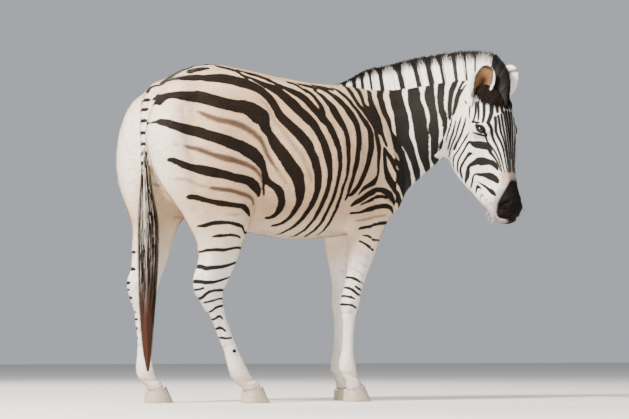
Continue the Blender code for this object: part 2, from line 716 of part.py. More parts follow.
def part_off(body, name, place, collection):
    """Parts a body at a plane: (the piece cut off, what stays)."""
    point, direction, level, reach = place
    tool = cell(name + "_cell", point, direction, level, reach, collection)
    piece = combined(body, tool, "INTERSECT", name, collection)
    wider = Vector(point) - Vector(direction).normalized() * GAP
    clear = cell(name + "_clear", wider, direction, level, (reach[0] + GAP, *reach[1:]), collection)
    rest = combined(body, clear, "DIFFERENCE", name + "_rest", collection)
    return piece, rest


def swollen(thing, by, collection):
    """A copy whose skin stands out by a small distance."""
    form = bmesh.new()
    form.from_mesh(thing.data)
    form.normal_update()
    moved = [vertex.co + vertex.normal * by for vertex in form.verts]
    for vertex, place in zip(form.verts, moved):
        vertex.co = place
    return mesh_object(thing.name + "_swollen", form, collection)


def keep_largest(thing):
    """Drops crumbs that a cut left apart from the main piece."""
    form = bmesh.new()
    form.from_mesh(thing.data)
    left = set(form.verts)
    groups = []
    while left:
        seed = left.pop()
        group, edge = {seed}, [seed]
        while edge:
            for link in edge.pop().link_edges:
                for vertex in link.verts:
                    if vertex in left:
                        left.discard(vertex)
                        group.add(vertex)
                        edge.append(vertex)
        groups.append(group)
    groups.sort(key=len)
    for group in groups[:-1]:
        bmesh.ops.delete(form, geom=list(group), context="VERTS")
    form.to_mesh(thing.data)
    form.free()


def leg_cell(level, middle, half_length, side):
    point = (middle, 0.20 * side, level)
    return point, (0, 0, -1), (1, 0, 0), (level + 0.1, half_length, 0.199)


def band_cell(joints, side):
    x, y, _ = joints["coronet"]
    point = (x, y * side, BAND_HEIGHT + GAP)
    downward = (math.sin(BAND_SLOPE), 0, -math.cos(BAND_SLOPE))
    return point, downward, (0, 1, 0), (0.2, 0.09, 0.12)


def part_leg(body, name, joints, levels, reach, side, nodes, collection):
    """Parts a leg off the body and into its lengths; returns the body that stays."""
    _, first = levels[0]
    leg, body = part_off(body, name, leg_cell(first, *reach, side), collection)
    for (length_name, _), (_, next_level) in zip(levels, levels[1:]):
        leg_below, length = part_off(leg, name + "_below", leg_cell(next_level, *reach, side), collection)
        nodes[f"{name}_{length_name}"] = length
        leg = leg_below
    _, pastern = part_off(leg, name + "_sole", band_cell(joints, side), collection)
    nodes[f"{name}_{levels[-1][0]}"] = pastern
    return body


# ---- finish -------------------------------------------------------------------------
def material(name, look):
    colour, roughness = look
    made = bpy.data.materials.new(name)
    made.use_nodes = True
    shader = made.node_tree.nodes["Principled BSDF"]
    shader.inputs["Base Color"].default_value = (*colour, 1)
    shader.inputs["Roughness"].default_value = roughness
    shader.inputs["Metallic"].default_value = 0.0
    made.diffuse_color = (*colour, 1)
    return made


def finish(source, name, look, collection):
    """The finished node: moved to the frame's origin, shaded smooth, with its own material."""
    form = bmesh.new()
    form.from_mesh(source.data)
    bmesh.ops.remove_doubles(form, verts=form.verts, dist=0.00005)
    bmesh.ops.triangulate(form, faces=form.faces)
    bmesh.ops.translate(form, vec=-CENTRE, verts=form.verts)
    for face in form.faces:
        face.smooth = True
    for edge in form.edges:
        edge.smooth = edge.calc_face_angle(0) < SHARP_EDGE
    thing = mesh_object(name, form, collection)
    thing.data.materials.append(material(name + "_material", look))


def main():
    for thing in list(bpy.data.objects):
        bpy.data.objects.remove(thing)
    zebra = bpy.data.collections.new("zebra")
    guides = bpy.data.collections.new("guides")
    for collection in (zebra, guides):
        bpy.context.scene.collection.children.link(collection)

    body = flesh(guides)
    outside = swollen(body, GAP, guides)
    nodes = {}
    head, body = part_off(body, "head", HEAD_FROM_NECK, guides)
    nodes["neck"], body = part_off(body, "neck", NECK_FROM_TRUNK, guides)
    for side, side_name in ((RIGHT, "right"), (LEFT, "left")):
        hind, fore = HIND_JOINTS[side], FORE_JOINTS[side]
        body = part_leg(body, f"hind_{side_name}", hind, HIND_LEVELS, HIND_REACH, side, nodes, guides)
        body = part_leg(body, f"fore_{side_name}", fore, FORE_LEVELS, FORE_REACH, side, nodes, guides)
        nodes[f"hind_{side_name}_hoof"] = mesh_object("hoof", hoof_form(hind, side), guides)
        nodes[f"fore_{side_name}_hoof"] = mesh_object("hoof", hoof_form(fore, side), guides)
        socket = mesh_object("socket", eye_form(side, EYE_RADIUS + GAP), guides)
        head = combined(head, socket, "DIFFERENCE", "head", guides)
        nodes[f"eye_{side_name}"] = mesh_object("eye", eye_form(side, EYE_RADIUS), guides)
        ear = mesh_object("ear", ear_form(side), guides)
        ear = combined(ear, outside, "DIFFERENCE", "ear", guides)
        keep_largest(ear)
        nodes[f"ear_{side_name}"] = ear
    nodes["trunk"] = body
    nodes["head"] = head

    mane = combined(mesh_object("guide_blades", mane_form(), guides), outside, "DIFFERENCE", "mane", guides)
    keep_largest(mane)
    nodes["mane"] = mane
    dock = mesh_object("guide_tail", tail_form(DOCK, len(DOCK) - 1), guides)
    dock = combined(dock, outside, "DIFFERENCE", "dock", guides)
    keep_largest(dock)
    nodes["tail_dock"] = dock
    nodes["tail_tuft"] = mesh_object("tuft", tail_form(TUFT, 0), guides)

    looks = {
        "hoof": HORN,
        "eye": EYE,
        "mane": HAIR,
        "tuft": TAIL_HAIR,
        "cannon": LEG_COAT,
        "pastern": LEG_COAT,
    }
    for name, source in nodes.items():
        look = next((looks[word] for word in looks if word in name), COAT)
        finish(source, name, look, zebra)
    for thing in list(guides.objects):
        bpy.data.objects.remove(thing)
    bpy.data.collections.remove(guides)


if __name__ == "__main__":
    main()
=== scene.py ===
"""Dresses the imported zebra: one skin, a short striped coat, mane, tail, eyes and hooves."""

import math

import bmesh
import bpy
import numpy as np
from mathutils import Matrix, Vector
from mathutils.bvhtree import BVHTree


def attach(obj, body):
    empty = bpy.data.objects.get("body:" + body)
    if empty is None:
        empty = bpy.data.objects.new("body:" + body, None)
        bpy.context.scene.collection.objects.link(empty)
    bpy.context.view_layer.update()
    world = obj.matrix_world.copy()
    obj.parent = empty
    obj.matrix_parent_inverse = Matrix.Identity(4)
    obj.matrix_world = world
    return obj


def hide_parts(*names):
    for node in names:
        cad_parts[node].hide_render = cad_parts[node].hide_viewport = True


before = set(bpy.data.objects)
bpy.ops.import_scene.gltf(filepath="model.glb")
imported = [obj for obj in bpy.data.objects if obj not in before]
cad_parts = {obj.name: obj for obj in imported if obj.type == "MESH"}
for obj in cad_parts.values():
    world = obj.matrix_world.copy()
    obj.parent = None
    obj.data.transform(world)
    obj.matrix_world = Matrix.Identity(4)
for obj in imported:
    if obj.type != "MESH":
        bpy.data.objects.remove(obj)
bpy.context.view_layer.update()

RIGHT, LEFT = -1, 1
SIDE_NAMES = {RIGHT: "right", LEFT: "left"}
CLEAR = 0.05  # the edge value of a point far from any dark stripe, metres
COAT_SHARE = 1.0  # of the tufts, while trying things

# ---- the animal's own measures, metres ----------------------------------------------
ANATOMY = np.array((0.1073, -0.0826, 0.0))  # from the row's frame to the animal's own
POLL = np.array((0.812, -0.300, 1.360))
HEAD_HEADING = math.radians(-76)
HEAD_DROP = math.radians(10)
HEAD_AXIS_BACK = 0.055  # the middle of the head's sections lies this far behind the face's line
HEAD_TURN = 0.0017  # metres of face for one degree round the head
FACE_AHEAD = np.array((math.cos(HEAD_HEADING), math.sin(HEAD_HEADING), 0.0))
UP = np.array((0.0, 0.0, 1.0))
DOWN = FACE_AHEAD * math.sin(HEAD_DROP) - UP * math.cos(HEAD_DROP)
OUT = FACE_AHEAD * math.cos(HEAD_DROP) + UP * math.sin(HEAD_DROP)
ACROSS = np.array((-math.sin(HEAD_HEADING), math.cos(HEAD_HEADING), 0.0))
HEAD_BEHIND = 0.60  # no part of the head lies behind this x
HEAD_BELOW = 0.66  # or below this height
EYE_PLACE = (0.232, 0.008, 0.0955)
EYE_RADIUS = 0.0215
# each ear's root and run in the head's frame, and where its hollow looks, in degrees
# from straight ahead outward
EAR_PLACES = {
    RIGHT: ((0.100, -0.014, 0.071), (-0.127, 0.094, 0.004), 46),
    LEFT: ((0.092, 0.004, 0.065), (-0.134, 0.082, 0.023), 112),
}
# where the jaw ends and the neck begins: down the face, in front
JAW_LINE = np.array(
    ((0.00, -0.045), (0.03, -0.052), (0.115, -0.085), (0.15, -0.121), (0.18, -0.135), (0.203, -0.148),
     (0.227, -0.164), (0.241, -0.173), (0.266, -0.192), (0.291, -0.223), (0.36, -0.250))
)

# the line along the back and the turning neck, seen from above
SPINE = np.array(
    (
        (-0.80, 0.0), (0.30, 0.0), (0.44, -0.015), (0.52, -0.036), (0.587, -0.07), (0.65, -0.107),
        (0.706, -0.153), (0.76, -0.21), (0.80, -0.275), (0.83, -0.34),
    )
)
# the middle of each leg from the side: height, right leg, left leg
HIND_LINE = np.array(
    (
        (0.00, -0.230, -0.550), (0.10, -0.295, -0.600), (0.20, -0.345, -0.610), (0.30, -0.387, -0.612),
        (0.40, -0.445, -0.617), (0.50, -0.447, -0.612), (0.60, -0.412, -0.575), (0.72, -0.420, -0.500),
        (0.88, -0.430, -0.430),
    )
)
FORE_LINE = np.array(
    (
        (0.00, 0.270, 0.350), (0.10, 0.250, 0.350), (0.20, 0.220, 0.340), (0.30, 0.222, 0.352),
        (0.40, 0.226, 0.360), (0.50, 0.243, 0.364), (0.60, 0.270, 0.370), (0.70, 0.290, 0.385),
        (0.85, 0.320, 0.360), (0.98, 0.340, 0.340),
    )
)

# ---- markings -----------------------------------------------------------------------
# Each stripe of the body is a line of (along the spine, height, half width), and each
# of the head a line of (degrees round the face, down the face, half width).
RUMP = (
    ((-.594, 1.290, .006), (-.57, 1.290, .008), (-.525, 1.294, .012), (-.50, 1.297, .0125),
     (-.47, 1.293, .015),
     (-.425, 1.295, .0186), (-.40, 1.295, .0215), (-.375, 1.292, .022), (-.35, 1.286, .022),
      (-.325, 1.281, .0225),
     (-.30, 1.275, .0235), (-.275, 1.265, .021), (-.251, 1.248, .021), (-.232, 1.226, .0202),
      (-.218, 1.204, .0205),
     (-.209, 1.175, .018), (-.200, 1.15, .019), (-.175, 1.125, .0205), (-.149, 1.10, .022),
      (-.122, 1.075, .0225),
     (-.10, 1.05, .023), (-.082, 1.025, .021), (-.069, 1.0, .018), (-.056, .975, .018), (-.049, .95, .0175),
     (-.040, .925, .016), (-.034, .90, .016), (-.030, .875, .015), (-.029, .85, .013), (-.030, .825, .012),
     (-.034, .80, .0115), (-.040, .775, .0105), (-.046, .75, .0095), (-.053, .725, .009),
      (-.064, .705, .007),
     (-.076, .688, .004)),
    ((-.682, 1.178, .003), (-.67, 1.196, .005), (-.656, 1.21, .009), (-.634, 1.215, .013),
     (-.61, 1.214, .0175),
     (-.575, 1.212, .0195), (-.525, 1.213, .025), (-.50, 1.207, .0245), (-.475, 1.198, .026),
      (-.45, 1.19, .0245),
     (-.425, 1.185, .0245), (-.40, 1.181, .025), (-.375, 1.178, .0255), (-.35, 1.177, .029),
      (-.325, 1.166, .034),
     (-.30, 1.148, .038), (-.28, 1.14, .034), (-.272, 1.10, .022), (-.253, 1.075, .0175),
      (-.238, 1.05, .021),
     (-.222, 1.025, .022), (-.202, 1.0, .023), (-.181, .975, .025), (-.162, .95, .026), (-.14, .925, .026),
     (-.122, .90, .0245), (-.112, .875, .0225), (-.103, .85, .0195), (-.095, .825, .016),
      (-.093, .80, .013),
     (-.096, .775, .010), (-.102, .75, .009), (-.112, .732, .0075), (-.132, .719, .004),
      (-.15, .717, .002)),
    ((-.708, 1.104, .004), (-.69, 1.104, .014), (-.675, 1.099, .0155), (-.65, 1.088, .0165),
     (-.625, 1.082, .019),
     (-.60, 1.078, .020), (-.575, 1.074, .020), (-.55, 1.07, .0215), (-.525, 1.062, .021),
      (-.50, 1.054, .0215),
     (-.475, 1.047, .0225), (-.45, 1.04, .022), (-.425, 1.032, .0235), (-.40, 1.023, .024),
      (-.375, 1.016, .024),
     (-.35, 1.004, .025), (-.325, .992, .025), (-.30, .970, .022), (-.284, .953, .017),
      (-.272, .934, .0125),
     (-.264, .916, .013), (-.254, .892, .014), (-.24, .882, .012), (-.22, .871, .011), (-.20, .858, .0135),
     (-.182, .84, .0145), (-.17, .816, .0135), (-.162, .792, .0135), (-.162, .772, .0125),
      (-.17, .756, .010),
     (-.186, .746, .0045), (-.204, .745, .002)),
    ((-.264, .90, .006), (-.26, .866, .005), (-.25, .832, .003)),
    ((-.675, .956, .006), (-.664, .954, .0085), (-.65, .946, .010), (-.625, .935, .0125),
     (-.60, .928, .0135),
     (-.575, .923, .015), (-.55, .919, .0175), (-.525, .915, .0185), (-.50, .911, .019),
      (-.475, .907, .0175),
     (-.45, .903, .0155), (-.40, .892, .0155), (-.35, .886, .0165), (-.325, .878, .020), (-.30, .864, .020),
     (-.284, .848, .015), (-.276, .832, .009)),
    ((-.589, .814, .005), (-.58, .813, .009), (-.56, .812, .009), (-.525, .802, .0085), (-.50, .797, .0095),
     (-.475, .793, .010), (-.45, .789, .0105), (-.40, .784, .009), (-.37, .783, .0085), (-.35, .778, .012),
     (-.334, .767, .0115), (-.322, .755, .008), (-.315, .746, .004)),
)
BACK = (  # where the bars of the flank run up on to the back
    ((-.385, 1.354, .006), (-.350, 1.346, .008), (-.322, 1.338, .009), (-.305, 1.320, .009),
     (-.293, 1.306, .008)),
    ((-.300, 1.341, .004), (-.272, 1.331, .007), (-.233, 1.323, .008), (-.200, 1.313, .008),
     (-.180, 1.300, .008)),
    ((-.225, 1.322, .004), (-.175, 1.306, .007), (-.160, 1.288, .008), (-.150, 1.270, .008)),
    ((-.085, 1.303, .005), (-.053, 1.296, .007), (-.038, 1.282, .008), (-.026, 1.266, .008)),
    ((-.025, 1.300, .005), (.000, 1.294, .007), (.025, 1.290, .008), (.045, 1.283, .008)),
    ((.050, 1.300, .005), (.080, 1.295, .007), (.110, 1.293, .008), (.140, 1.288, .008)),
    ((-.515, 1.320, .004), (-.488, 1.331, .006), (-.455, 1.340, .006), (-.430, 1.342, .003)),
)
FLANK = (
    ((-.30, 1.318, .003), (-.275, 1.307, .006), (-.25, 1.295, .010), (-.225, 1.282, .014),
     (-.20, 1.27, .018),
     (-.182, 1.26, .021), (-.166, 1.25, .0245), (-.144, 1.225, .0255), (-.121, 1.2, .027),
      (-.103, 1.175, .024),
     (-.077, 1.15, .0235), (-.054, 1.125, .020), (-.039, 1.10, .018), (-.027, 1.075, .018),
      (-.016, 1.05, .017),
     (-.007, 1.025, .017), (.002, 1.0, .0185), (.009, .975, .0165), (.015, .95, .014), (.017, .925, .0125),
     (.019, .90, .012), (.0195, .875, .0105), (.016, .85, .010), (.014, .825, .0095), (.010, .80, .009),
     (.007, .775, .0085), (.0065, .75, .0075), (.004, .725, .007), (.0, .70, .007), (-.005, .684, .006)),
    ((-.194, 1.312, .004), (-.17, 1.298, .006), (-.146, 1.284, .009), (-.122, 1.271, .011),
     (-.094, 1.256, .015),
     (-.066, 1.242, .020), (-.05, 1.225, .0215), (-.035, 1.20, .019), (-.018, 1.175, .018),
      (.0015, 1.15, .021),
     (.022, 1.125, .0155), (.0315, 1.10, .0175), (.043, 1.075, .0165), (.0515, 1.05, .0155),
      (.059, 1.025, .013),
     (.062, 1.0, .0115), (.064, .975, .010), (.0665, .95, .009), (.063, .925, .009), (.060, .90, .008),
     (.0585, .875, .008), (.0565, .85, .0075), (.0545, .825, .0075), (.051, .80, .007), (.049, .775, .007),
     (.0485, .75, .0075), (.050, .725, .007), (.046, .70, .006), (.044, .684, .006)),
    ((-.014, 1.272, .006), (-.008, 1.26, .010), (.004, 1.24, .0095), (.008, 1.22, .011), (.012, 1.2, .011),
     (.012, 1.175, .012), (.008, 1.155, .010)),
    ((.030, 1.272, .006), (.038, 1.26, .009), (.048, 1.25, .011), (.060, 1.225, .015), (.072, 1.20, .020),
     (.077, 1.175, .021), (.086, 1.15, .020), (.098, 1.125, .0165), (.107, 1.10, .013),
      (.1105, 1.075, .0125),
     (.1105, 1.05, .0125), (.110, 1.025, .011), (.109, 1.0, .010), (.109, .975, .009), (.1075, .95, .0075),
     (.106, .925, .007), (.101, .90, .007), (.093, .875, .007), (.091, .85, .007), (.090, .825, .007),
     (.0885, .80, .007), (.0885, .775, .007), (.089, .75, .007), (.092, .725, .007), (.0945, .70, .005),
     (.0955, .686, .003)),
    ((.058, 1.288, .004), (.080, 1.284, .007), (.100, 1.274, .012), (.120, 1.25, .017), (.140, 1.225, .018),
     (.152, 1.20, .0205), (.165, 1.175, .0215), (.176, 1.15, .020), (.183, 1.125, .0195),
      (.183, 1.10, .0185),
     (.179, 1.075, .0165), (.173, 1.05, .0145), (.167, 1.025, .0125), (.161, 1.0, .0125),
      (.155, .975, .0125),
     (.147, .95, .012), (.140, .925, .009), (.135, .90, .010), (.130, .875, .009), (.1255, .85, .006),
     (.1205, .825, .004)),
    ((.160, 1.295, .006), (.172, 1.28, .011), (.184, 1.262, .013), (.190, 1.25, .0125), (.199, 1.225, .011),
     (.212, 1.20, .011), (.225, 1.175, .014), (.242, 1.15, .016), (.258, 1.125, .016), (.263, 1.10, .018),
     (.259, 1.075, .018), (.254, 1.05, .018), (.246, 1.025, .015), (.237, 1.0, .0125), (.227, .975, .0125),
     (.215, .95, .013), (.202, .925, .0135), (.189, .90, .0135), (.173, .875, .012), (.149, .85, .008),
     (.140, .843, .005)),
)
SHOULDER = (
    ((.262, 1.312, .010), (.243, 1.28, .013), (.236, 1.25, .012), (.242, 1.222, .012), (.262, 1.20, .016),
     (.285, 1.172, .020), (.306, 1.14, .020), (.318, 1.11, .014), (.325, 1.08, .017), (.326, 1.05, .018),
     (.322, 1.02, .017), (.313, .995, .0175), (.308, .975, .019), (.308, .95, .019), (.302, .925, .018),
     (.28, .907, .013), (.256, .895, .011), (.235, .885, .009), (.216, .875, .007), (.20, .86, .005),
     (.188, .848, .003)),
    ((.325, 1.312, .012), (.305, 1.28, .017), (.293, 1.25, .016), (.287, 1.225, .018), (.30, 1.20, .030),
     (.325, 1.178, .034), (.345, 1.15, .028), (.35, 1.125, .022)),
    ((.39, 1.30, .008), (.370, 1.275, .013), (.352, 1.245, .017), (.347, 1.215, .022), (.352, 1.18, .025),
     (.360, 1.14, .018), (.366, 1.11, .011), (.374, 1.085, .009), (.385, 1.062, .006)),
    ((.366, 1.045, .006), (.364, 1.02, .010), (.364, 1.0, .012), (.366, .975, .012), (.372, .95, .014),
     (.382, .925, .017), (.402, .90, .018), (.432, .872, .018), (.458, .85, .016), (.48, .83, .010),
     (.485, .815, .005)),
    ((.372, 1.045, .005), (.388, 1.025, .009), (.408, 1.0, .012), (.424, .975, .014), (.446, .95, .015),
     (.472, .925, .019), (.490, .90, .014), (.512, .875, .018), (.535, .86, .020)),
    ((.44, 1.015, .004), (.462, .995, .008), (.484, .975, .011), (.50, .95, .012), (.515, .925, .014),
     (.54, .90, .020), (.55, .88, .022)),
)
NECK = (
    ((.475, 1.335, .006), (.46, 1.318, .010), (.446, 1.30, .012), (.434, 1.275, .016), (.432, 1.25, .020),
     (.428, 1.225, .024), (.428, 1.20, .026), (.439, 1.175, .023), (.442, 1.15, .021), (.443, 1.125, .017),
     (.451, 1.10, .021), (.472, 1.075, .027), (.498, 1.05, .027), (.518, 1.025, .029), (.522, 1.0, .032),
     (.537, .975, .028), (.558, .95, .018), (.573, .925, .012), (.586, .90, .007)),
    ((.55, 1.345, .012), (.531, 1.32, .021), (.523, 1.30, .025), (.521, 1.275, .031), (.522, 1.25, .032),
     (.526, 1.225, .034), (.53, 1.2, .036), (.531, 1.175, .038), (.532, 1.15, .039), (.530, 1.125, .038),
     (.546, 1.10, .026), (.565, 1.075, .018), (.579, 1.05, .0165), (.589, 1.025, .015), (.600, 1.0, .0135),
     (.613, .97, .012), (.624, .935, .006)),
    ((.615, 1.35, .010), (.608, 1.325, .017), (.607, 1.30, .022), (.605, 1.275, .023), (.608, 1.25, .025),
     (.616, 1.225, .027), (.621, 1.20, .028), (.625, 1.175, .028), (.627, 1.15, .026), (.631, 1.125, .026),
     (.638, 1.10, .026), (.642, 1.075, .023), (.644, 1.05, .0195), (.65, 1.025, .0175), (.66, 1.0, .015),
     (.668, .976, .008)),
    ((.682, 1.355, .008), (.68, 1.33, .014), (.677, 1.30, .018), (.678, 1.275, .021), (.683, 1.25, .019),
     (.693, 1.225, .0145), (.701, 1.20, .0125), (.704, 1.175, .0135), (.70, 1.155, .018),
      (.701, 1.14, .019),
     (.705, 1.125, .0165), (.706, 1.10, .012), (.704, 1.075, .0105), (.702, 1.05, .010),
      (.703, 1.025, .011),
     (.705, 1.01, .008)),
    ((.735, 1.358, .009), (.735, 1.339, .0155), (.734, 1.29, .0165), (.734, 1.255, .0155),
     (.738, 1.224, .0155),
     (.746, 1.202, .018), (.752, 1.172, .015), (.754, 1.147, .0115), (.749, 1.122, .0065),
      (.741, 1.102, .0045),
     (.734, 1.078, .0085), (.733, 1.058, .010), (.738, 1.038, .0095), (.747, 1.024, .0035)),
    ((.798, 1.352, .008), (.7915, 1.337, .012), (.783, 1.310, .0115), (.779, 1.282, .010),
     (.7765, 1.255, .0085),
     (.777, 1.227, .008), (.778, 1.20, .0055), (.779, 1.184, .002)),
    ((.838, 1.358, .006), (.827, 1.332, .008), (.817, 1.310, .009), (.810, 1.288, .009),
     (.806, 1.268, .0085),
     (.802, 1.246, .008), (.797, 1.222, .0055), (.7935, 1.20, .003)),
    ((.850, 1.332, .0035), (.838, 1.310, .004), (.827, 1.282, .0045), (.820, 1.246, .004),
     (.816, 1.211, .0035)),
)
FORELEG = (
    ((.166, .804, .006), (.178, .814, .009), (.20, .824, .010), (.22, .834, .012), (.24, .848, .0125),
     (.26, .858, .0125), (.28, .866, .0125), (.30, .870, .0115), (.325, .873, .0095), (.35, .872, .010),
     (.368, .867, .012), (.38, .860, .013), (.392, .852, .013), (.404, .838, .011), (.414, .824, .007),
     (.42, .815, .003)),
    ((.216, .808, .002), (.24, .818, .004), (.26, .826, .005), (.28, .834, .006), (.30, .84, .006),
     (.325, .844, .006), (.35, .846, .005), (.375, .84, .003)),
    ((.176, .773, .002), (.20, .775, .003), (.225, .778, .004), (.24, .783, .006), (.26, .79, .008),
     (.28, .795, .010), (.30, .798, .010), (.325, .802, .0092), (.35, .806, .009), (.375, .808, .009),
     (.39, .804, .008), (.404, .798, .007), (.42, .784, .004)),
    ((.24, .712, .003), (.25, .715, .005), (.275, .72, .005), (.30, .726, .005), (.325, .73, .0055),
     (.35, .735, .0055), (.375, .739, .005), (.39, .74, .003)),
    ((.25, .686, .002), (.275, .68, .003), (.296, .671, .004), (.325, .666, .004), (.36, .666, .003)),
    ((.242, .66, .003), (.26, .65, .004), (.28, .638, .004), (.30, .63, .0035), (.325, .625, .003)),
    ((.213, .511, .003), (.229, .506, .0045), (.249, .494, .003), (.27, .488, .002)),
    ((.232, .475, .002), (.243, .467, .0035), (.263, .458, .002)),
    ((.204, .469, .003), (.221, .46, .004), (.238, .444, .0035), (.263, .436, .002)),
    ((.194, .435, .003), (.213, .429, .005), (.229, .422, .002)),
    ((.19, .40, .003), (.216, .397, .003), (.238, .386, .002)),
)
HINDLEG = (
    ((-.528, .701, .003), (-.51, .702, .006), (-.49, .709, .0075), (-.475, .713, .0075), (-.45, .715, .007),
     (-.425, .715, .006), (-.40, .713, .006), (-.375, .708, .006), (-.35, .702, .0055), (-.34, .690, .004),
     (-.33, .679, .0035), (-.30, .678, .003)),
    ((-.475, .658, .0025), (-.465, .661, .0045), (-.45, .663, .005), (-.425, .665, .0045),
     (-.40, .668, .004),
     (-.375, .665, .0035), (-.35, .659, .003)),
    ((-.502, .599, .003), (-.486, .606, .005), (-.46, .608, .005), (-.424, .608, .005), (-.391, .614, .004),
     (-.358, .619, .003), (-.324, .618, .003)),
    ((-.507, .542, .007), (-.486, .534, .008), (-.46, .538, .007), (-.424, .542, .006), (-.391, .549, .005),
     (-.363, .557, .004), (-.344, .561, .003)),
    ((-.519, .482, .006), (-.491, .478, .006), (-.458, .480, .005), (-.424, .488, .004),
     (-.391, .497, .003),
     (-.366, .504, .002)),
    ((-.518, .449, .003), (-.498, .456, .003)),
    ((-.497, .414, .004), (-.488, .43, .0045), (-.474, .442, .005), (-.452, .447, .0045),
     (-.424, .449, .004),
     (-.402, .449, .003)),
    ((-.48, .40, .003), (-.458, .406, .0035), (-.43, .414, .003), (-.405, .416, .003)),
    ((-.452, .364, .003), (-.441, .377, .003), (-.424, .384, .003), (-.402, .388, .002)),
    ((-.433, .334, .003), (-.424, .343, .004), (-.413, .346, .0035), (-.401, .336, .002)),
    ((-.418, .293, .0025), (-.411, .30, .0045), (-.397, .297, .004), (-.384, .286, .002)),
    ((-.399, .261, .003), (-.38, .258, .003), (-.355, .26, .002)),
    ((-.346, .208, .0045), (-.342, .208, .0045)),
)
BODY_STRIPES = RUMP + BACK + FLANK + SHOULDER + NECK + FORELEG + HINDLEG

# the line along the back: at places along the spine, half the width
BACK_LINE = ((-0.66, -0.52, -0.35, -0.15, 0.1, 0.25), (0.014, 0.030, 0.034, 0.022, 0.013, 0.004))
# how far forward the dock reaches: heights, places along the spine
TAIL_FRONT = ((0.90, 1.03, 1.12, 1.195, 1.238), (-0.660, -0.664, -0.658, -0.648, -0.625))
SHADOW_STRENGTH = 1.15
TAIL_BARS = (1.205, 1.167, 1.122, 1.074, 1.030, 0.993, 0.955)  # heights of the bars on the tail

# softer brown stripes between the dark ones, each with how strong it is
SHADOWS = (
    (0.85, ((-.542, 1.152, .005), (-.525, 1.144, .009), (-.50, 1.132, .012), (-.475, 1.122, .0125),
            (-.45, 1.117, .012), (-.425, 1.113, .0125), (-.40, 1.108, .014), (-.375, 1.10, .014),
            (-.35, 1.088, .014), (-.325, 1.074, .013), (-.30, 1.054, .012), (-.286, 1.036, .010),
            (-.275, 1.016, .010), (-.262, .992, .010), (-.25, .976, .009), (-.23, .952, .007),
             (-.21, .928, .005))),
    (0.45, ((-.21, .928, .007), (-.19, .904, .007), (-.17, .88, .005))),
    (0.40, ((-.275, 1.214, .004), (-.25, 1.188, .006), (-.238, 1.156, .007), (-.224, 1.124, .008),
     (-.20, 1.10, .009),
            (-.18, 1.068, .009), (-.158, 1.036, .009), (-.13, 1.008, .009), (-.11, .98, .009),
             (-.09, .948, .009),
            (-.074, .916, .008), (-.062, .888, .005))),
    (0.35, ((-.665, 1.016, .007), (-.655, 1.014, .007))),
    (0.88, ((-.625, 1.012, .003), (-.60, 1.006, .008), (-.575, 1.004, .009), (-.55, .998, .011),
     (-.525, .989, .011),
            (-.50, .98, .010), (-.475, .974, .0125), (-.45, .968, .014), (-.425, .964, .0135),
             (-.40, .96, .012),
            (-.375, .954, .012), (-.35, .948, .011), (-.325, .938, .010), (-.30, .924, .009),
             (-.28, .904, .009),
            (-.268, .88, .007))),
    (0.40, ((-.642, .882, .006), (-.614, .88, .006), (-.59, .872, .006), (-.57, .868, .005),
     (-.55, .856, .005),
            (-.525, .853, .006))),
    (0.92, ((-.51, .850, .005), (-.494, .848, .008), (-.47, .846, .009), (-.45, .844, .009),
     (-.425, .842, .0095),
            (-.40, .838, .009), (-.375, .832, .010), (-.35, .828, .009), (-.325, .82, .009),
             (-.308, .808, .008),
            (-.298, .792, .005))),
    (0.30, ((-.43, .748, .006), (-.38, .748, .006))),
    (0.60, ((.224, .744, .003), (.25, .748, .005), (.275, .754, .005), (.30, .759, .0045),
     (.325, .762, .0045),
            (.35, .766, .0045), (.375, .77, .004))),
    (0.60, ((.35, .846, .006), (.375, .84, .006), (.40, .824, .005))),
    (0.40, ((.243, .619, .0015), (.263, .604, .002), (.288, .589, .002))),
    (0.40, ((.243, .578, .002), (.26, .561, .003), (.30, .556, .002))),
    (0.55, ((.221, .55, .002), (.243, .536, .003), (.26, .519, .0025), (.28, .517, .002))),
    (0.45, ((.213, .367, .0025), (.218, .367, .0025))),
    (0.45, ((.440, 1.045, .010), (.465, 1.020, .010), (.49, 1.0, .008))),
    (0.40, ((-.383, .228, .003), (-.363, .234, .002))),
    (0.35, ((.118, .95, .004), (.118, .90, .004), (.12, .84, .004))),
)

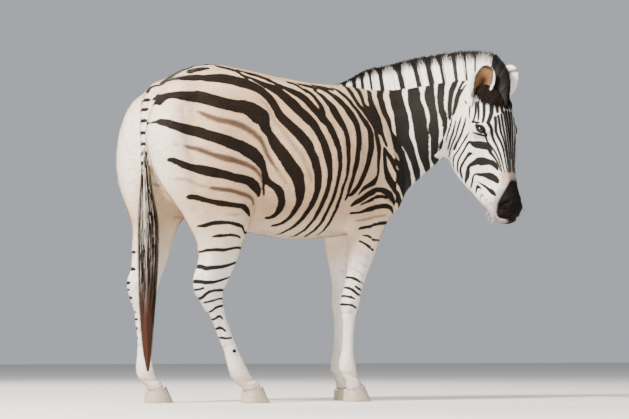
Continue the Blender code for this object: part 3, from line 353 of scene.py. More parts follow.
HEAD_STRIPES = (
    # the band under the eye, running on down to the nose
    ((-90, .268, .003), (-98.7, .267, .005)),
    ((-97, .2700, .005), (-90, .2774, .011), (-80, .284, .0150), (-69, .289, .0160), (-60, .295, .0160),
     (-50, .302, .0150), (-44, .313, .0100), (-42.5, .334, .0050), (-37.4, .350, .0036),
      (-33.7, .365, .0031),
     (-30, .3825, .0026), (-28, .3975, .0021), (-26, .4125, .0015)),
    # bars round the cheek
    ((-31, .4075, .003), (-33, .396, .0065), (-36.7, .384, .0085), (-42.6, .3725, .010), (-50, .367, .0118),
     (-60, .3615, .0154), (-70, .3575, .0175), (-79, .3557, .0175), (-90, .352, .0150),
      (-103.9, .355, .011),
     (-115.7, .3567, .009), (-125.5, .3593, .007), (-133.3, .3667, .008), (-140.2, .3833, .0100),
     (-148, .3983, .009), (-154.9, .4083, .006), (-163, .420, .003)),
    ((-33.3, .459, .005), (-35, .451, .009), (-39.6, .440, .0125), (-45.6, .430, .0145), (-54, .424, .0155),
     (-60, .421, .0135), (-70, .416, .0105), (-79, .412, .009), (-89.6, .4095, .0075), (-104, .405, .007),
     (-115.7, .400, .0038), (-125.5, .4027, .0034), (-133.3, .4117, .005), (-140.2, .4233, .005),
     (-149, .4367, .004), (-159.8, .448, .002)),
    ((-43.2, .5075, .005), (-47.7, .4975, .0095), (-52.8, .490, .0115), (-60, .483, .0095),
     (-67.5, .4745, .008),
     (-79, .463, .0065), (-94, .4525, .0052), (-105.9, .445, .0040), (-113.7, .438, .0028),
      (-123.5, .430, .0020)),
    ((-151, .473, .003), (-143.1, .465, .005), (-135.3, .455, .006), (-125.5, .4517, .0078),
     (-118.6, .4573, .006),
     (-112, .465, .003)),
    # the fine lines of the jaw and the cheek's rear
    ((-99, .160, .0024), (-101, .1717, .0038), (-104.9, .185, .0046), (-109.8, .198, .0046),
     (-114.7, .210, .0042),
     (-120.6, .2233, .0040), (-128.4, .2367, .0034), (-137, .252, .0030), (-147, .276, .0026)),
    ((-96, .226, .0025), (-104, .237, .0045), (-110.8, .245, .0050), (-116.7, .2517, .0044),
     (-123.5, .260, .0038),
     (-129, .2667, .0034), (-140.2, .2833, .0034), (-153, .300, .0030), (-160.8, .3233, .0026),
      (-166, .350, .002)),
    ((-93, .268, .003), (-98, .265, .005), (-104.9, .267, .006), (-111.8, .274, .0052),
     (-119.6, .283, .0046),
     (-128.4, .295, .0042), (-140.2, .3083, .0036), (-150, .3267, .0034), (-157.8, .350, .0030),
      (-162.7, .370, .002)),
    ((-101.6, .315, .004), (-106.9, .3123, .007), (-113.7, .314, .008), (-120.6, .3183, .006),
     (-127.5, .325, .0052),
     (-135.3, .3333, .0048), (-144.1, .344, .0048), (-151, .355, .0042), (-155.9, .3683, .0045),
      (-159.8, .3883, .004),
     (-162, .400, .002)),
    # fine lines from the brow and the eye down to the nose
    ((-49, .268, .0030), (-47.5, .280, .0032), (-45.2, .292, .0028), (-39.6, .312, .0026),
     (-33, .338, .0025),
     (-27.8, .369, .0023), (-25.2, .396, .0019), (-23.7, .420, .0014)),
    ((-42.6, .212, .0060), (-40, .225, .0060), (-38, .238, .0056), (-37.6, .256, .0054),
     (-36.5, .272, .0044),
     (-34.5, .290, .0036), (-30.2, .313, .0032), (-25.6, .345, .0030), (-22, .3775, .0026),
      (-20.2, .4025, .0021),
     (-18.7, .4225, .0015)),
    ((-28.2, .190, .0046), (-28.5, .212, .0046), (-29.7, .234, .0046), (-30, .251, .0044),
     (-27.2, .273, .0040),
     (-23.3, .295, .0036), (-19.6, .320, .0034), (-17.6, .350, .0030), (-15.4, .380, .0026),
      (-14.0, .405, .0022),
     (-13, .4225, .0015)),
    ((-22.5, .185, .0040), (-22, .225, .0040), (-21.5, .252, .0038), (-18.5, .278, .0036),
     (-15.5, .305, .0034),
     (-13.2, .340, .0030), (-11.4, .370, .0026), (-10.2, .400, .0022), (-9.6, .425, .0015)),
    ((-16, .180, .0040), (-16, .225, .0040), (-14, .265, .0036), (-11.5, .305, .0034), (-9.6, .345, .0030),
     (-7.8, .385, .0026), (-6.8, .425, .0020)),
    ((-10, .170, .0045), (-9.5, .220, .0040), (-8, .270, .0036), (-5.5, .320, .0032), (-4, .370, .0026),
     (-3, .420, .0020)),
    ((-4, .165, .0050), (-3.5, .215, .0044), (-2, .265, .0036), (0, .310, .0030), (0, .365, .0024)),
    # over the eye
    ((-60, .108, .0050), (-62, .125, .0062), (-64, .147, .0060), (-69, .169, .0048), (-74, .184, .0056),
     (-77.5, .190, .0042)),
    ((-79, .186, .0040), (-69, .1926, .0046), (-61.6, .199, .0042), (-58, .2035, .0032)),
    ((-54, .108, .0045), (-55, .123, .0052), (-56.6, .151, .0054), (-58, .169, .0046),
     (-59.8, .188, .0036)),
    ((-42, .105, .0045), (-43, .125, .0052), (-44.4, .151, .0052), (-46.3, .173, .0050),
     (-49.5, .195, .0044),
     (-51.4, .208, .0030)),
    ((-30, .120, .0060), (-31, .145, .0064), (-33, .169, .0066), (-37.5, .192, .0064),
     (-42.6, .212, .0060)),
    ((-20, .110, .0075), (-21, .140, .0060), (-22.5, .170, .0045)),
    ((-12, .110, .0085), (-12, .140, .0070), (-13, .170, .0050)),
    ((-4, .110, .0080), (-3, .150, .0070)),
    ((-80, .108, .0030), (-81, .119, .0044), (-83, .132, .0046), (-85, .147, .0042), (-87, .165, .0028)),
    ((-96, .090, .0030), (-93, .099, .0036), (-90, .103, .002)),
    # the folds under the lower lid: a dark line painted along the crease as painted shade
    ((-79, .232, .0026), (-66, .2475, .0034), (-56, .2575, .0036), (-48, .266, .0030)),
)
# fine lines behind the cheek: down the face, along CHEEK_SLANT, half the width
CHEEK_FROM = -100  # degrees round the head where the cheek's own lines take over
CHEEK_SLANT = (0.74, 0.67)  # out before the face, less so much of the distance aside
CHEEK_STRIPES = (
    ((.150, -.167, .002), (.175, -.173, .0035), (.205, -.187, .0035), (.220, -.194, .003),
     (.240, -.202, .002)),
    ((.165, -.151, .002), (.195, -.163, .0035), (.210, -.168, .004), (.235, -.182, .0035),
     (.255, -.190, .0035),
     (.270, -.197, .0025)),
    ((.153, -.126, .002), (.168, -.133, .0035), (.183, -.140, .004), (.198, -.147, .004),
     (.223, -.157, .003),
     (.237, -.166, .0035), (.250, -.174, .003), (.275, -.188, .003), (.295, -.193, .002)),
)
CHEEK_EDGE = np.array(  # where these lines take over: down the face, along the slant
    ((.145, -.400), (.150, -.115), (.170, -.123), (.200, -.137), (.225, -.148), (.250, -.165),
     (.275, -.181),
     (.300, -.187), (.312, -.400))
)
HEAD_SHADOWS = (
    (0.55, ((-98, .512, .004), (-90, .515, .006), (-82, .519, .004))),
    (0.50, ((-76, .533, .004), (-68, .536, .005), (-60, .537, .003))),
    (0.85, ((-143.1, .508, .003), (-135.3, .498, .0042), (-125.5, .4907, .006), (-115.7, .4907, .006),
            (-106.9, .4967, .0042), (-103.5, .500, .002))),
    (0.40, ((-156.9, .5167, .003), (-143, .513, .003))),
    (0.45, ((-89.5, .225, .003), (-90, .249, .003))),
    (0.40, ((-88, .165, .003), (-90, .190, .002))),
)

# ---- colours, linear ----------------------------------------------------------------
CREAM = (0.68, 0.505, 0.345)
TAN = (0.37, 0.21, 0.115)
WHITE = (0.90, 0.86, 0.80)
LEG_WHITE = (0.78, 0.72, 0.66)
BELLY = (0.74, 0.62, 0.48)
BLACK = (0.0050, 0.0034, 0.0028)
BROWN = (0.060, 0.029, 0.016)
MUZZLE = (0.0065, 0.0048, 0.0048)
PEACH = (0.36, 0.225, 0.165)
LIP = (0.40, 0.31, 0.295)
GREY_SKIN = (0.24, 0.185, 0.185)
NOSE_BROWN = (0.105, 0.080, 0.072)
EAR_TAN = (0.225, 0.125, 0.064)
EYE_RIM = (0.012, 0.009, 0.008)


# ---- small helpers ------------------------------------------------------------------
def smooth(low, high, values):
    """0 below low, 1 above high, and a smooth rise between."""
    share = np.clip((np.asarray(values, float) - low) / (high - low), 0.0, 1.0)
    return share * share * (3 - 2 * share)


def unit(vectors):
    return vectors / np.maximum(np.linalg.norm(vectors, axis=-1, keepdims=True), 1e-12)


def blend(first, second, share):
    """Rows of one colour or vector mixed towards another."""
    share = np.asarray(share)[:, None]
    return np.asarray(first) * (1 - share) + np.asarray(second) * share


def filled(colour, count):
    """One colour as a row for each point."""
    return np.tile(np.array(colour), (count, 1))


def along_surface(ways, normals):
    """Directions laid flat on the surface."""
    return unit(ways - normals * np.sum(ways * normals, axis=1, keepdims=True))


def from_head(down, out, aside):
    """A point given along the face, in front of it and to the animal's left."""
    return POLL + DOWN * down + OUT * out + ACROSS * aside


def head_frame(places):
    """(down the face, in front, to the left) of points."""
    offset = places - POLL
    return np.stack([offset @ DOWN, offset @ OUT, offset @ ACROSS], axis=1)


def head_share(places):
    """1 on the head, 0 off it."""
    down, out, _ = head_frame(places).T
    share = smooth(-0.012, 0.012, out - np.interp(down, JAW_LINE[:, 0], JAW_LINE[:, 1]))
    return share * (places[:, 0] > HEAD_BEHIND) * (places[:, 2] > HEAD_BELOW)


def along_spine(places):
    """(length along the spine, distance to its left) of points, seen from above."""
    steps = np.diff(SPINE, axis=0)
    lengths = np.linalg.norm(steps, axis=1)
    starts = SPINE[0, 0] + np.concatenate([[0], np.cumsum(lengths)])
    nearest = np.full(len(places), 1e9)
    run = np.zeros(len(places))
    aside = np.zeros(len(places))
    last = len(steps) - 1
    for i, (step, length) in enumerate(zip(steps, lengths)):
        offset = places[:, :2] - SPINE[i]
        share = np.clip(offset @ step / length**2, 0 if i else -9, 9 if i == last else 1)
        apart = offset - share[:, None] * step
        distance = np.linalg.norm(apart, axis=1)
        closer = distance < nearest
        nearest = np.where(closer, distance, nearest)
        run = np.where(closer, starts[i] + share * length, run)
        side = (apart[:, 1] * step[0] - apart[:, 0] * step[1]) / length
        aside = np.where(closer, side, aside)
    return run, aside


def leg_middle(line, height, side):
    return np.interp(height, line[:, 0], line[:, 1 if side == RIGHT else 2])


def body_map(places):
    """(along the spine, height, distance to the left): the stripes' own chart, with both
    sides on the right side's measures."""
    run, aside = along_spine(places)
    height = places[:, 2].copy()
    left = aside > 0
    hind = places[:, 0] < 0.0
    moved = np.where(
        hind,
        leg_middle(HIND_LINE, height, RIGHT) - leg_middle(HIND_LINE, height, LEFT),
        leg_middle(FORE_LINE, height, RIGHT) - leg_middle(FORE_LINE, height, LEFT),
    )
    low = 1 - smooth(0.80, 0.98, height)
    run = np.where(left & (run < 0.62), run + moved * low, run)
    above = smooth(0.70, 0.95, height)
    run = np.where(left, run + 0.011 * above * np.sin(7 * height + 9 * run), run)
    height = np.where(left, height + 0.010 * np.sin(8 * run + 1.0) * above, height)
    return run, height, aside


def head_map(places):
    """(degrees round the head, down the face) of points."""
    down, out, aside = head_frame(places).T
    return np.degrees(np.arctan2(aside, out + HEAD_AXIS_BACK)), down


def edge_of(strokes, first, second):
    """How far points of a chart lie outside the nearest stroke, negative inside."""
    best = np.full(len(first), CLEAR)
    for stroke in strokes:
        stroke = np.array(stroke)
        reach = stroke[:, 2].max() + CLEAR
        low, high = stroke[:, :2].min(axis=0) - reach, stroke[:, :2].max(axis=0) + reach
        inside = (first > low[0]) & (first < high[0]) & (second > low[1]) & (second < high[1])
        picked = np.nonzero(inside)[0]
        if not len(picked):
            continue
        points = np.stack([first[picked], second[picked]], axis=1)
        nearest = best[picked]
        for start, end in zip(stroke[:-1], stroke[1:]):
            step = end[:2] - start[:2]
            share = np.clip((points - start[:2]) @ step / max(step @ step, 1e-12), 0, 1)
            apart = np.linalg.norm(points - start[:2] - share[:, None] * step, axis=1)
            nearest = np.minimum(nearest, apart - (start[2] + share * (end[2] - start[2])))
        best[picked] = nearest
    return best


def on_turn(strokes):
    """Head strokes with their degrees turned into metres of face."""
    return tuple(tuple((turn * HEAD_TURN, down, half) for turn, down, half in stroke) for stroke in strokes)


def thin(line, scale=HEAD_TURN):
    """A line without width, as the one stroke of a chart."""
    return (tuple((first * scale, second, 0.0) for first, second in line),)


def wobble(places, scale, seed):
    """A cheap smooth ripple between -1 and 1 that varies in all directions."""
    x, y, z = (places * scale).T
    return (
        np.sin(x * 1.3 + 2.1 * np.sin(y * 0.9 + seed) + seed)
        + np.sin(y * 1.7 + 1.9 * np.sin(z * 1.1 + seed * 2))
        + np.sin(z * 1.5 + 2.3 * np.sin(x * 0.8 + seed * 3))
    ) / 3


def body_markings(places, run, height, aside):
    """(edge, brown) of points off the head."""
    apart = np.abs(aside)
    wave = 0.0012 * wobble(places, 60, 1.0)
    wider = 0.0018 + 0.0050 * smooth(0.38, 0.50, run) * (1 - smooth(0.69, 0.74, run))
    edge = edge_of(BODY_STRIPES, run, height) + wave - wider
    # clear between the buttocks
    cleft = (1 - smooth(0.030, 0.055, apart)) * (1 - smooth(-0.62, -0.56, run))
    edge = edge + 0.030 * cleft * (height < 1.20)
    fork = (1 - smooth(0.055, 0.085, apart)) * (1 - smooth(-0.46, -0.38, run))
    edge = edge + 0.030 * fork * (height < 0.92)
    brown = np.zeros(len(places))
    for strength, stroke in SHADOWS:
        soft = 1 - smooth(-0.004, 0.004, edge_of((stroke,), run, height))
        brown = np.maximum(brown, min(1.0, strength * SHADOW_STRENGTH) * soft)
    # the line along the back, and the clear belly
    back = apart - np.interp(run, *BACK_LINE)
    on_back = (height > 1.22) & (run < 0.27)
    edge = np.where(on_back, np.minimum(edge, back), edge)
    # the bars across the back of the tail
    on_tail = (run < np.interp(height, *TAIL_FRONT)) & (apart < 0.028) & (height < 1.23)
    bars = np.abs(height[:, None] - np.array(TAIL_BARS)).min(axis=1) - 0.0075
    bars = np.maximum(bars, np.abs(aside + 0.005) - 0.0175)
    return np.where(on_tail, bars, edge), np.where(on_tail, 0.0, brown)


def head_markings(places):
    """(edge, brown) of points on the head."""
    turn, down = head_map(places)
    turn = -np.abs(turn)
    face = edge_of(on_turn(HEAD_STRIPES), turn * HEAD_TURN, down)
    _, out, aside = head_frame(places).T
    slant = out * CHEEK_SLANT[0] - np.abs(aside) * CHEEK_SLANT[1]
    behind = edge_of(CHEEK_STRIPES, down, slant)
    on_cheek = turn < CHEEK_FROM
    face = np.where(on_cheek & (slant < np.interp(down, *CHEEK_EDGE.T)), CLEAR, face)
    edge = np.where(on_cheek, np.minimum(face, behind), face) - 0.0005
    brown = np.zeros(len(places))
    for strength, stroke in HEAD_SHADOWS:
        soft = 1 - smooth(-0.002, 0.002, edge_of(on_turn((stroke,)), turn * HEAD_TURN, down))
        brown = np.maximum(brown, strength * soft)
    return edge, brown


def markings(places, inner=None):
    """(edge of the dark stripes, strength of the brown ones, ground colour) at points.
    `inner` is how far each point faces the animal's own middle, on the legs."""
    places = np.asarray(places, float)
    run, height, aside = body_map(places)
    head = head_share(places)
    on_head = head > 0.5
    edge = np.full(len(places), CLEAR)
    brown = np.zeros(len(places))
    body = ~on_head
    if body.any():
        edge[body], brown[body] = body_markings(places[body], run[body], height[body], aside[body])
    if on_head.any():
        edge[on_head], brown[on_head] = head_markings(places[on_head])
    # on the left the bars end before the back of the thigh
    away = (1 - smooth(-0.66, -0.54, run)) * (aside > 0.035) * (height > 0.74)
    edge = edge + 0.040 * away
    brown = brown * (1 - away)
    # the inner faces of the legs carry fainter bars
    if inner is not None:
        fade = smooth(0.15, 0.75, inner) * (1 - smooth(0.84, 0.92, height))
        edge = edge + (0.010 + 0.014 * smooth(0.62, 0.74, height)) * fade
    return edge, brown, ground_colour(places, run, height, head)


# how far round the muzzle its black reaches: down the face, degrees
DARK_MUZZLE = (
    (0.44, 0.47, 0.495, 0.51, 0.53, 0.545, 0.5625, 0.58, 0.595, 0.605, 0.615, 0.63),
    (7, 16, 24, 29, 36, 42, 45, 48, 45, 38, 25, 12),
)


def ground_colour(places, run, height, head):
    """The colour of the coat between its dark stripes."""
    colour = filled(CREAM, len(places))
    mottle = 0.5 + 0.5 * wobble(places, 9, 2.0)
    # a warm wash over the flank, the stifle and the shoulder
    warm = smooth(-0.62, -0.38, run) * (1 - smooth(0.22, 0.50, run)) * smooth(0.60, 0.80, height)
    warm = warm * (1 - smooth(1.20, 1.30, height))
    colour = blend(colour, TAN, warm * (0.38 + 0.25 * mottle))
    # the rear of the rump is painted whiter: painted sunlight on the side that faces the key lamp
    behind = 1 - smooth(-0.72, -0.56, run)
    colour = blend(colour, WHITE, 0.65 * behind)
    neck = smooth(0.40, 0.60, run)
    colour = blend(colour, WHITE, np.maximum(neck * 0.85, head))
    legs = 1 - smooth(0.52, 0.72, height)
    colour = blend(colour, LEG_WHITE, legs * (1 - head))
    under = (1 - smooth(0.70, 0.78, height)) * (height > 0.60) * (1 - head)
    colour = blend(colour, BELLY, under * 0.55)
    # dust round the fetlocks
    feet = (1 - smooth(0.05, 0.17, height)) * (1 - head)
    colour = blend(colour, TAN, feet * 0.40 * mottle)
    turn, down = head_map(places)
    front = np.abs(turn)
    # the muzzle: black in front, grey where it ends, the chin and lower lip pale
    lower = np.interp(down, *DARK_MUZZLE)
    dark = smooth(-3, 4, lower - front) * smooth(0.425, 0.465, down) * head
    peach = smooth(0.400, 0.430, down) * (1 - smooth(0.470, 0.490, down)) * (1 - smooth(22, 34, front)) * head
    nose_bridge = smooth(0.34, 0.46, down) * smooth(-6, 8, 16 - front) * head
    centre = (1 - smooth(5, 12, front)) * smooth(0.10, 0.18, down) * head
    lip = smooth(0.500, 0.545, down) * head
    verge = smooth(-26, -2, lower - front) * smooth(0.45, 0.50, down) * head
    colour = blend(colour, LIP, lip * 0.80)
    colour = blend(colour, GREY_SKIN, verge * 0.85)
    colour = blend(colour, NOSE_BROWN, np.maximum(nose_bridge, centre) * 0.85 * (1 - dark))
    colour = blend(colour, PEACH, peach * 0.75 * (1 - dark))
    colour = blend(colour, MUZZLE, dark)
    # the forehead under the forelock is painted dark brown: the forelock's own dark hair, and painted shade
    # cast by the forelock
    forehead = (1 - smooth(0.11, 0.17, down)) * (1 - smooth(30, 48, front)) * head
    colour = blend(colour, np.array(BROWN) * 0.35, forehead * 0.92)
    # dark skin round the eye
    eye = lids_apart(places)
    for side in SIDE_NAMES:
        look, above, front_way = eye_axes(side)
        offset = places - eye_centre(side)
        corner = edge_of(EYE_CORNERS, offset @ front_way, offset @ above)
        eye = np.minimum(eye, np.where(offset @ look > -0.02, corner + 0.003, CLEAR))
        # the upper lid is the darker one
        eye = eye - 0.0035 * smooth(0.002, 0.010, offset @ above) * (np.linalg.norm(offset, axis=1) < 0.045)
    colour = blend(colour, EYE_RIM, (1 - smooth(0.0040, 0.0100, eye)) * head)
    return colour


# ---- the eye ------------------------------------------------------------------------
EYE_SLANT = DOWN * 0.62 + OUT * 0.78  # the way the lids run to the front corner


def eye_centre(side):
    down, out, aside = EYE_PLACE
    return from_head(down, out, aside * side)


def eye_axes(side):
    """The eye's own axes: looking out, up, and along the lids to the front."""
    look = unit(ACROSS * side * 0.86 + OUT * 0.50 + DOWN * 0.06)
    front = unit(EYE_SLANT - look * (EYE_SLANT @ look))
    above = unit(np.cross(front, look)) * side
    if above @ OUT < 0:
        above = -above
    front = np.cross(above, look)
    if front @ EYE_SLANT < 0:
        front = -front
    return look, above, front


LID_HALF_LENGTH = 0.0200
LID_UPPER = 0.0092
LID_LOWER = 0.0092
# dark skin before and behind the eye: along the lids, above them, half the width
EYE_CORNERS = (
    ((0.0170, -0.0010, 0.0040), (0.0320, -0.0070, 0.0026)),
    ((-0.0170, 0.0020, 0.0045), (-0.0270, 0.0035, 0.0030)),
)


def lid_edge(along, rise):
    """How far a point seen from in front lies outside the lids' opening, in metres."""
    share = np.clip(np.abs(along) / LID_HALF_LENGTH, 0, 1)
    arch = np.sqrt(np.maximum(1 - share**2, 0)) * (1 - 0.12 * share)
    tall = np.where(rise > 0, LID_UPPER, LID_LOWER) * np.maximum(arch, 0.02)
    beyond = np.maximum(np.abs(along) - LID_HALF_LENGTH, 0)
    return np.hypot(np.maximum(np.abs(rise) - tall, 0), beyond) - np.maximum(
        np.minimum(tall - np.abs(rise), LID_HALF_LENGTH - np.abs(along)), 0
    )


def eye_distance(places, side):
    """How far points lie outside the lids' opening; far off away from the eye."""
    look, above, front = eye_axes(side)
    offset = places - eye_centre(side)
    edge = lid_edge(offset @ front, offset @ above)
    return np.where(offset @ look > -0.020, edge, CLEAR)


def lids_apart(places):
    """How far points lie outside the nearer eye's opening."""
    return np.minimum(*(eye_distance(places, side) for side in SIDE_NAMES))


def from_eyes(places):
    """How far points lie from the nearer eye's centre."""
    return np.minimum(*(np.linalg.norm(places - eye_centre(side), axis=1) for side in SIDE_NAMES))


# ---- reading and making meshes ------------------------------------------------------
def node_form(name, grow=0.0):
    """A CAD node as a bmesh in the animal's own measures, its surface moved out by grow."""
    form = bmesh.new()
    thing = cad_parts[name]
    form.from_mesh(thing.data)
    form.transform(thing.matrix_world)
    bmesh.ops.remove_doubles(form, verts=form.verts, dist=1e-5)
    form.normal_update()
    moved = [vertex.co + vertex.normal * grow + Vector(ANATOMY) for vertex in form.verts]
    for vertex, place in zip(form.verts, moved):
        vertex.co = place
    return form


def mesh_of(form, name):
    """A bmesh turned into a mesh."""
    mesh = bpy.data.meshes.new(name)
    form.to_mesh(mesh)
    form.free()
    return mesh


def merged(names, grow):
    """Several nodes as one mesh."""
    whole = bmesh.new()
    for name in names:
        mesh = mesh_of(node_form(name, grow), "part")
        whole.from_mesh(mesh)
        bpy.data.meshes.remove(mesh)
    return mesh_of(whole, "merged")


def remeshed(mesh, voxel):
    """The outer surface of a mesh, rebuilt in even quads."""
    thing = bpy.data.objects.new("remesh_work", mesh)
    bpy.context.scene.collection.objects.link(thing)
    modifier = thing.modifiers.new("even", "REMESH")
    modifier.mode = "VOXEL"
    modifier.voxel_size = voxel
    graph = bpy.context.evaluated_depsgraph_get()
    made = bpy.data.meshes.new_from_object(thing.evaluated_get(graph))
    bpy.data.objects.remove(thing)
    bpy.data.meshes.remove(mesh)
    return made


def places_of(mesh):
    places = np.empty(len(mesh.vertices) * 3)
    mesh.vertices.foreach_get("co", places)
    return places.reshape(-1, 3)


def normals_of(mesh):
    normals = np.empty(len(mesh.vertices) * 3)
    mesh.vertex_normals.foreach_get("vector", normals)
    return normals.reshape(-1, 3)


def put_places(mesh, places):
    mesh.vertices.foreach_set("co", np.ascontiguousarray(places, dtype=np.float32).ravel())
    mesh.update()


def edges_of(mesh):
    pairs = np.empty(len(mesh.edges) * 2, dtype=np.int32)
    mesh.edges.foreach_get("vertices", pairs)
    return pairs.reshape(-1, 2)


def smoothed(places, pairs, rounds, strength):
    """Rounds of smoothing that take out bumps and keep the volume."""
    count = len(places)
    first, second = pairs.T
    degree = np.bincount(first, minlength=count) + np.bincount(second, minlength=count)
    degree = np.maximum(degree, 1)[:, None]
    strength = np.asarray(strength, float)
    strength = strength[:, None] if strength.ndim else strength
    for step in range(2 * rounds):
        total = np.stack(
            [
                np.bincount(first, places[second, axis], count)
                + np.bincount(second, places[first, axis], count)
                for axis in range(3)
            ],
            axis=1,
        )
        pull = 0.50 if step % 2 == 0 else -0.53
        places = places + (total / degree - places) * (pull * strength)
    return places


def refine(mesh, wanted):
    """Splits the faces whose corners are all wanted."""
    form = bmesh.new()
    form.from_mesh(mesh)
    form.verts.ensure_lookup_table()
    chosen = [face for face in form.faces if all(wanted[vertex.index] for vertex in face.verts)]
    edges = {edge for face in chosen for edge in face.edges}
    bmesh.ops.subdivide_edges(form, edges=list(edges), cuts=1, use_grid_fill=True)
    form.to_mesh(mesh)
    form.free()


def shaded_smooth(mesh):
    mesh.polygons.foreach_set("use_smooth", np.ones(len(mesh.polygons), dtype=bool))


def put_value(mesh, name, values):
    attribute = mesh.attributes.new(name, "FLOAT", "POINT")
    attribute.data.foreach_set("value", np.ascontiguousarray(values, dtype=np.float32))


def put_colour(mesh, name, colours):
    attribute = mesh.attributes.new(name, "FLOAT_COLOR", "POINT")
    rows = np.ones((len(colours), 4), dtype=np.float32)
    rows[:, :3] = colours
    attribute.data.foreach_set("color", rows.ravel())


def mark(mesh, edge, brown, ground, tone):
    """The four values that the coat's material reads, at each point."""
    count = len(mesh.vertices)
    put_value(mesh, "edge", np.broadcast_to(edge, count))
    put_value(mesh, "brown", np.broadcast_to(brown, count))
    put_colour(mesh, "ground", ground)
    put_value(mesh, "tone", np.broadcast_to(tone, count))


def unstriped(ground, tone):
    """The same values for hairs of one colour each."""
    count = len(ground)
    return {"edge": np.full(count, CLEAR), "brown": np.zeros(count), "ground": ground, "tone": tone}


def placed(name, mesh, material):
    """An object from a mesh in the animal's measures, moved into the row's frame."""
    put_places(mesh, places_of(mesh) - ANATOMY)
    thing = bpy.data.objects.new(name, mesh)
    mesh.name = name
    bpy.context.scene.collection.objects.link(thing)
    mesh.materials.clear()
    mesh.materials.append(material)
    return thing


# ---- skin ---------------------------------------------------------------------------
FLESH = (
    "head", "neck", "trunk", "tail_dock",
    "fore_left_upper", "fore_left_cannon", "fore_left_pastern",
    "fore_right_upper", "fore_right_cannon", "fore_right_pastern",
    "hind_left_upper", "hind_left_cannon", "hind_left_pastern",
    "hind_right_upper", "hind_right_cannon", "hind_right_pastern",
)
SKIN_VOXEL = 0.0070
OVERLAP = 0.0006  # by which the parts are grown to join
COAT_DEPTH = 0.0040

# ridges and hollows: height, radius, and a line in the body's chart
BODY_RELIEF = (
    (0.0035, 0.032, ((0.37, 1.22), (0.42, 1.10), (0.455, 1.00), (0.47, 0.93))),
    (-0.0045, 0.022, ((0.215, 1.12), (0.225, 1.03), (0.220, 0.93), (0.205, 0.86))),
    (-0.0030, 0.020, ((0.475, 1.06), (0.500, 0.97), (0.500, 0.90))),
    (0.0040, 0.020, ((0.222, 0.800), (0.226, 0.790))),
    (0.0045, 0.045, ((-0.300, 1.205), (-0.290, 1.195))),
    (-0.0060, 0.035, ((-0.225, 1.10), (-0.235, 1.00), (-0.225, 0.90))),
    (-0.0040, 0.020, ((-0.600, 1.17), (-0.590, 1.02), (-0.565, 0.88), (-0.540, 0.76))),
    (-0.0025, 0.025, ((-0.500, 1.18), (-0.480, 1.00), (-0.470, 0.84))),
    (0.0040, 0.022, ((-0.300, 0.80), (-0.260, 0.76), (-0.200, 0.735))),
    (-0.0040, 0.010, ((-0.490, 0.600), (-0.497, 0.540), (-0.495, 0.500))),
    (-0.0026, 0.0075, ((-0.432, 0.400), (-0.404, 0.320), (-0.372, 0.230))),
    (0.0022, 0.0080, ((-0.455, 0.400), (-0.425, 0.320), (-0.388, 0.230))),
    (-0.0026, 0.0070, ((0.209, 0.345), (0.208, 0.280), (0.208, 0.210))),
    (-0.0030, 0.014, ((0.238, 0.600), (0.228, 0.520), (0.222, 0.450))),
    (0.0025, 0.012, ((0.205, 0.400), (0.207, 0.385))),
    (-0.0020, 0.006, ((0.190, 0.362), (0.245, 0.352))),
    (-0.0020, 0.006, ((0.195, 0.425), (0.262, 0.440))),
    (-0.0030, 0.006, ((-0.345, 0.095), (-0.290, 0.088), (-0.240, 0.095))),
    (-0.0030, 0.006, ((0.195, 0.118), (0.240, 0.100), (0.275, 0.098))),
)
RIBS = 9
RIB_FROM, RIB_TO = -0.16, 0.20
RIB_HEIGHT = 0.0011

# the same on the head, in degrees round it and metres down the face
HEAD_RELIEF = (
    (0.0032, 0.012, ((-44, 0.185), (-48, 0.196), (-46, 0.218), (-43, 0.245))),
    (-0.0035, 0.016, ((-60, 0.150), (-62, 0.165))),
    (0.0025, 0.009, ((-66, 0.270), (-64, 0.320), (-60, 0.360))),
    (-0.0025, 0.013, ((-50, 0.285), (-48, 0.350), (-46, 0.420))),
    (0.0020, 0.010, ((-20, 0.280), (-17, 0.370), (-14, 0.460))),
    (-0.0020, 0.012, ((0, 0.180), (0, 0.330))),
    (-0.0030, 0.014, ((-96, 0.330), (-84, 0.372), (-95, 0.420))),
    (0.0009, 0.0035, ((-56, 0.300), (-66, 0.350), (-70, 0.390), (-86, 0.430))),
    (0.0009, 0.0032, ((-66, 0.350), (-52, 0.400), (-42, 0.450))),
    (0.0022, 0.0060, ((-14, 0.530), (-22, 0.530), (-38, 0.545), (-43, 0.565), (-40, 0.585), (-30, 0.592))),
    (-0.0024, 0.0050, ((-47, 0.520), (-54, 0.545), (-52, 0.570))),
    (0.0020, 0.0055, ((-10, 0.603), (-30, 0.600), (-44, 0.588), (-52, 0.560), (-60, 0.540))),
    (0.0025, 0.0070, ((-15, 0.622), (-40, 0.612), (-56, 0.590), (-66, 0.560))),
    (-0.0018, 0.0060, ((-70, 0.520), (-66, 0.545), (-72, 0.570))),
    (-0.0018, 0.0032, ((-50, 0.2145), (-57, 0.2085), (-66, 0.2010), (-79, 0.1880))),
    (-0.0018, 0.0034, ((-46, 0.2680), (-56, 0.2600), (-66, 0.2500), (-79, 0.2340))),
    (0.0014, 0.0035, ((-48, 0.2210), (-54, 0.2150), (-64, 0.2090), (-77, 0.1970))),
)
NOSTRIL_LINE = (0.0125, 0.0058, ((-22, 0.549), (-29, 0.5515), (-35, 0.560), (-36, 0.571), (-31, 0.579)))
MOUTH_LINE = (
    0.0045,
    0.0028,
    ((0, 0.614), (-20, 0.6125), (-36, 0.606), (-47, 0.594), (-54, 0.572), (-61, 0.548)),
)


def relief(rows, first, second, scale=1.0):
    """The summed height of ridges and hollows at points of a chart."""
    total = np.zeros(len(first))
    # edge_of measures only out to CLEAR, so what lies near that is left alone
    for height, radius, line in rows:
        distance = edge_of(thin(line, scale), first, second)
        total += height * np.exp(-((distance / radius) ** 2)) * (distance < 0.049)
    return total


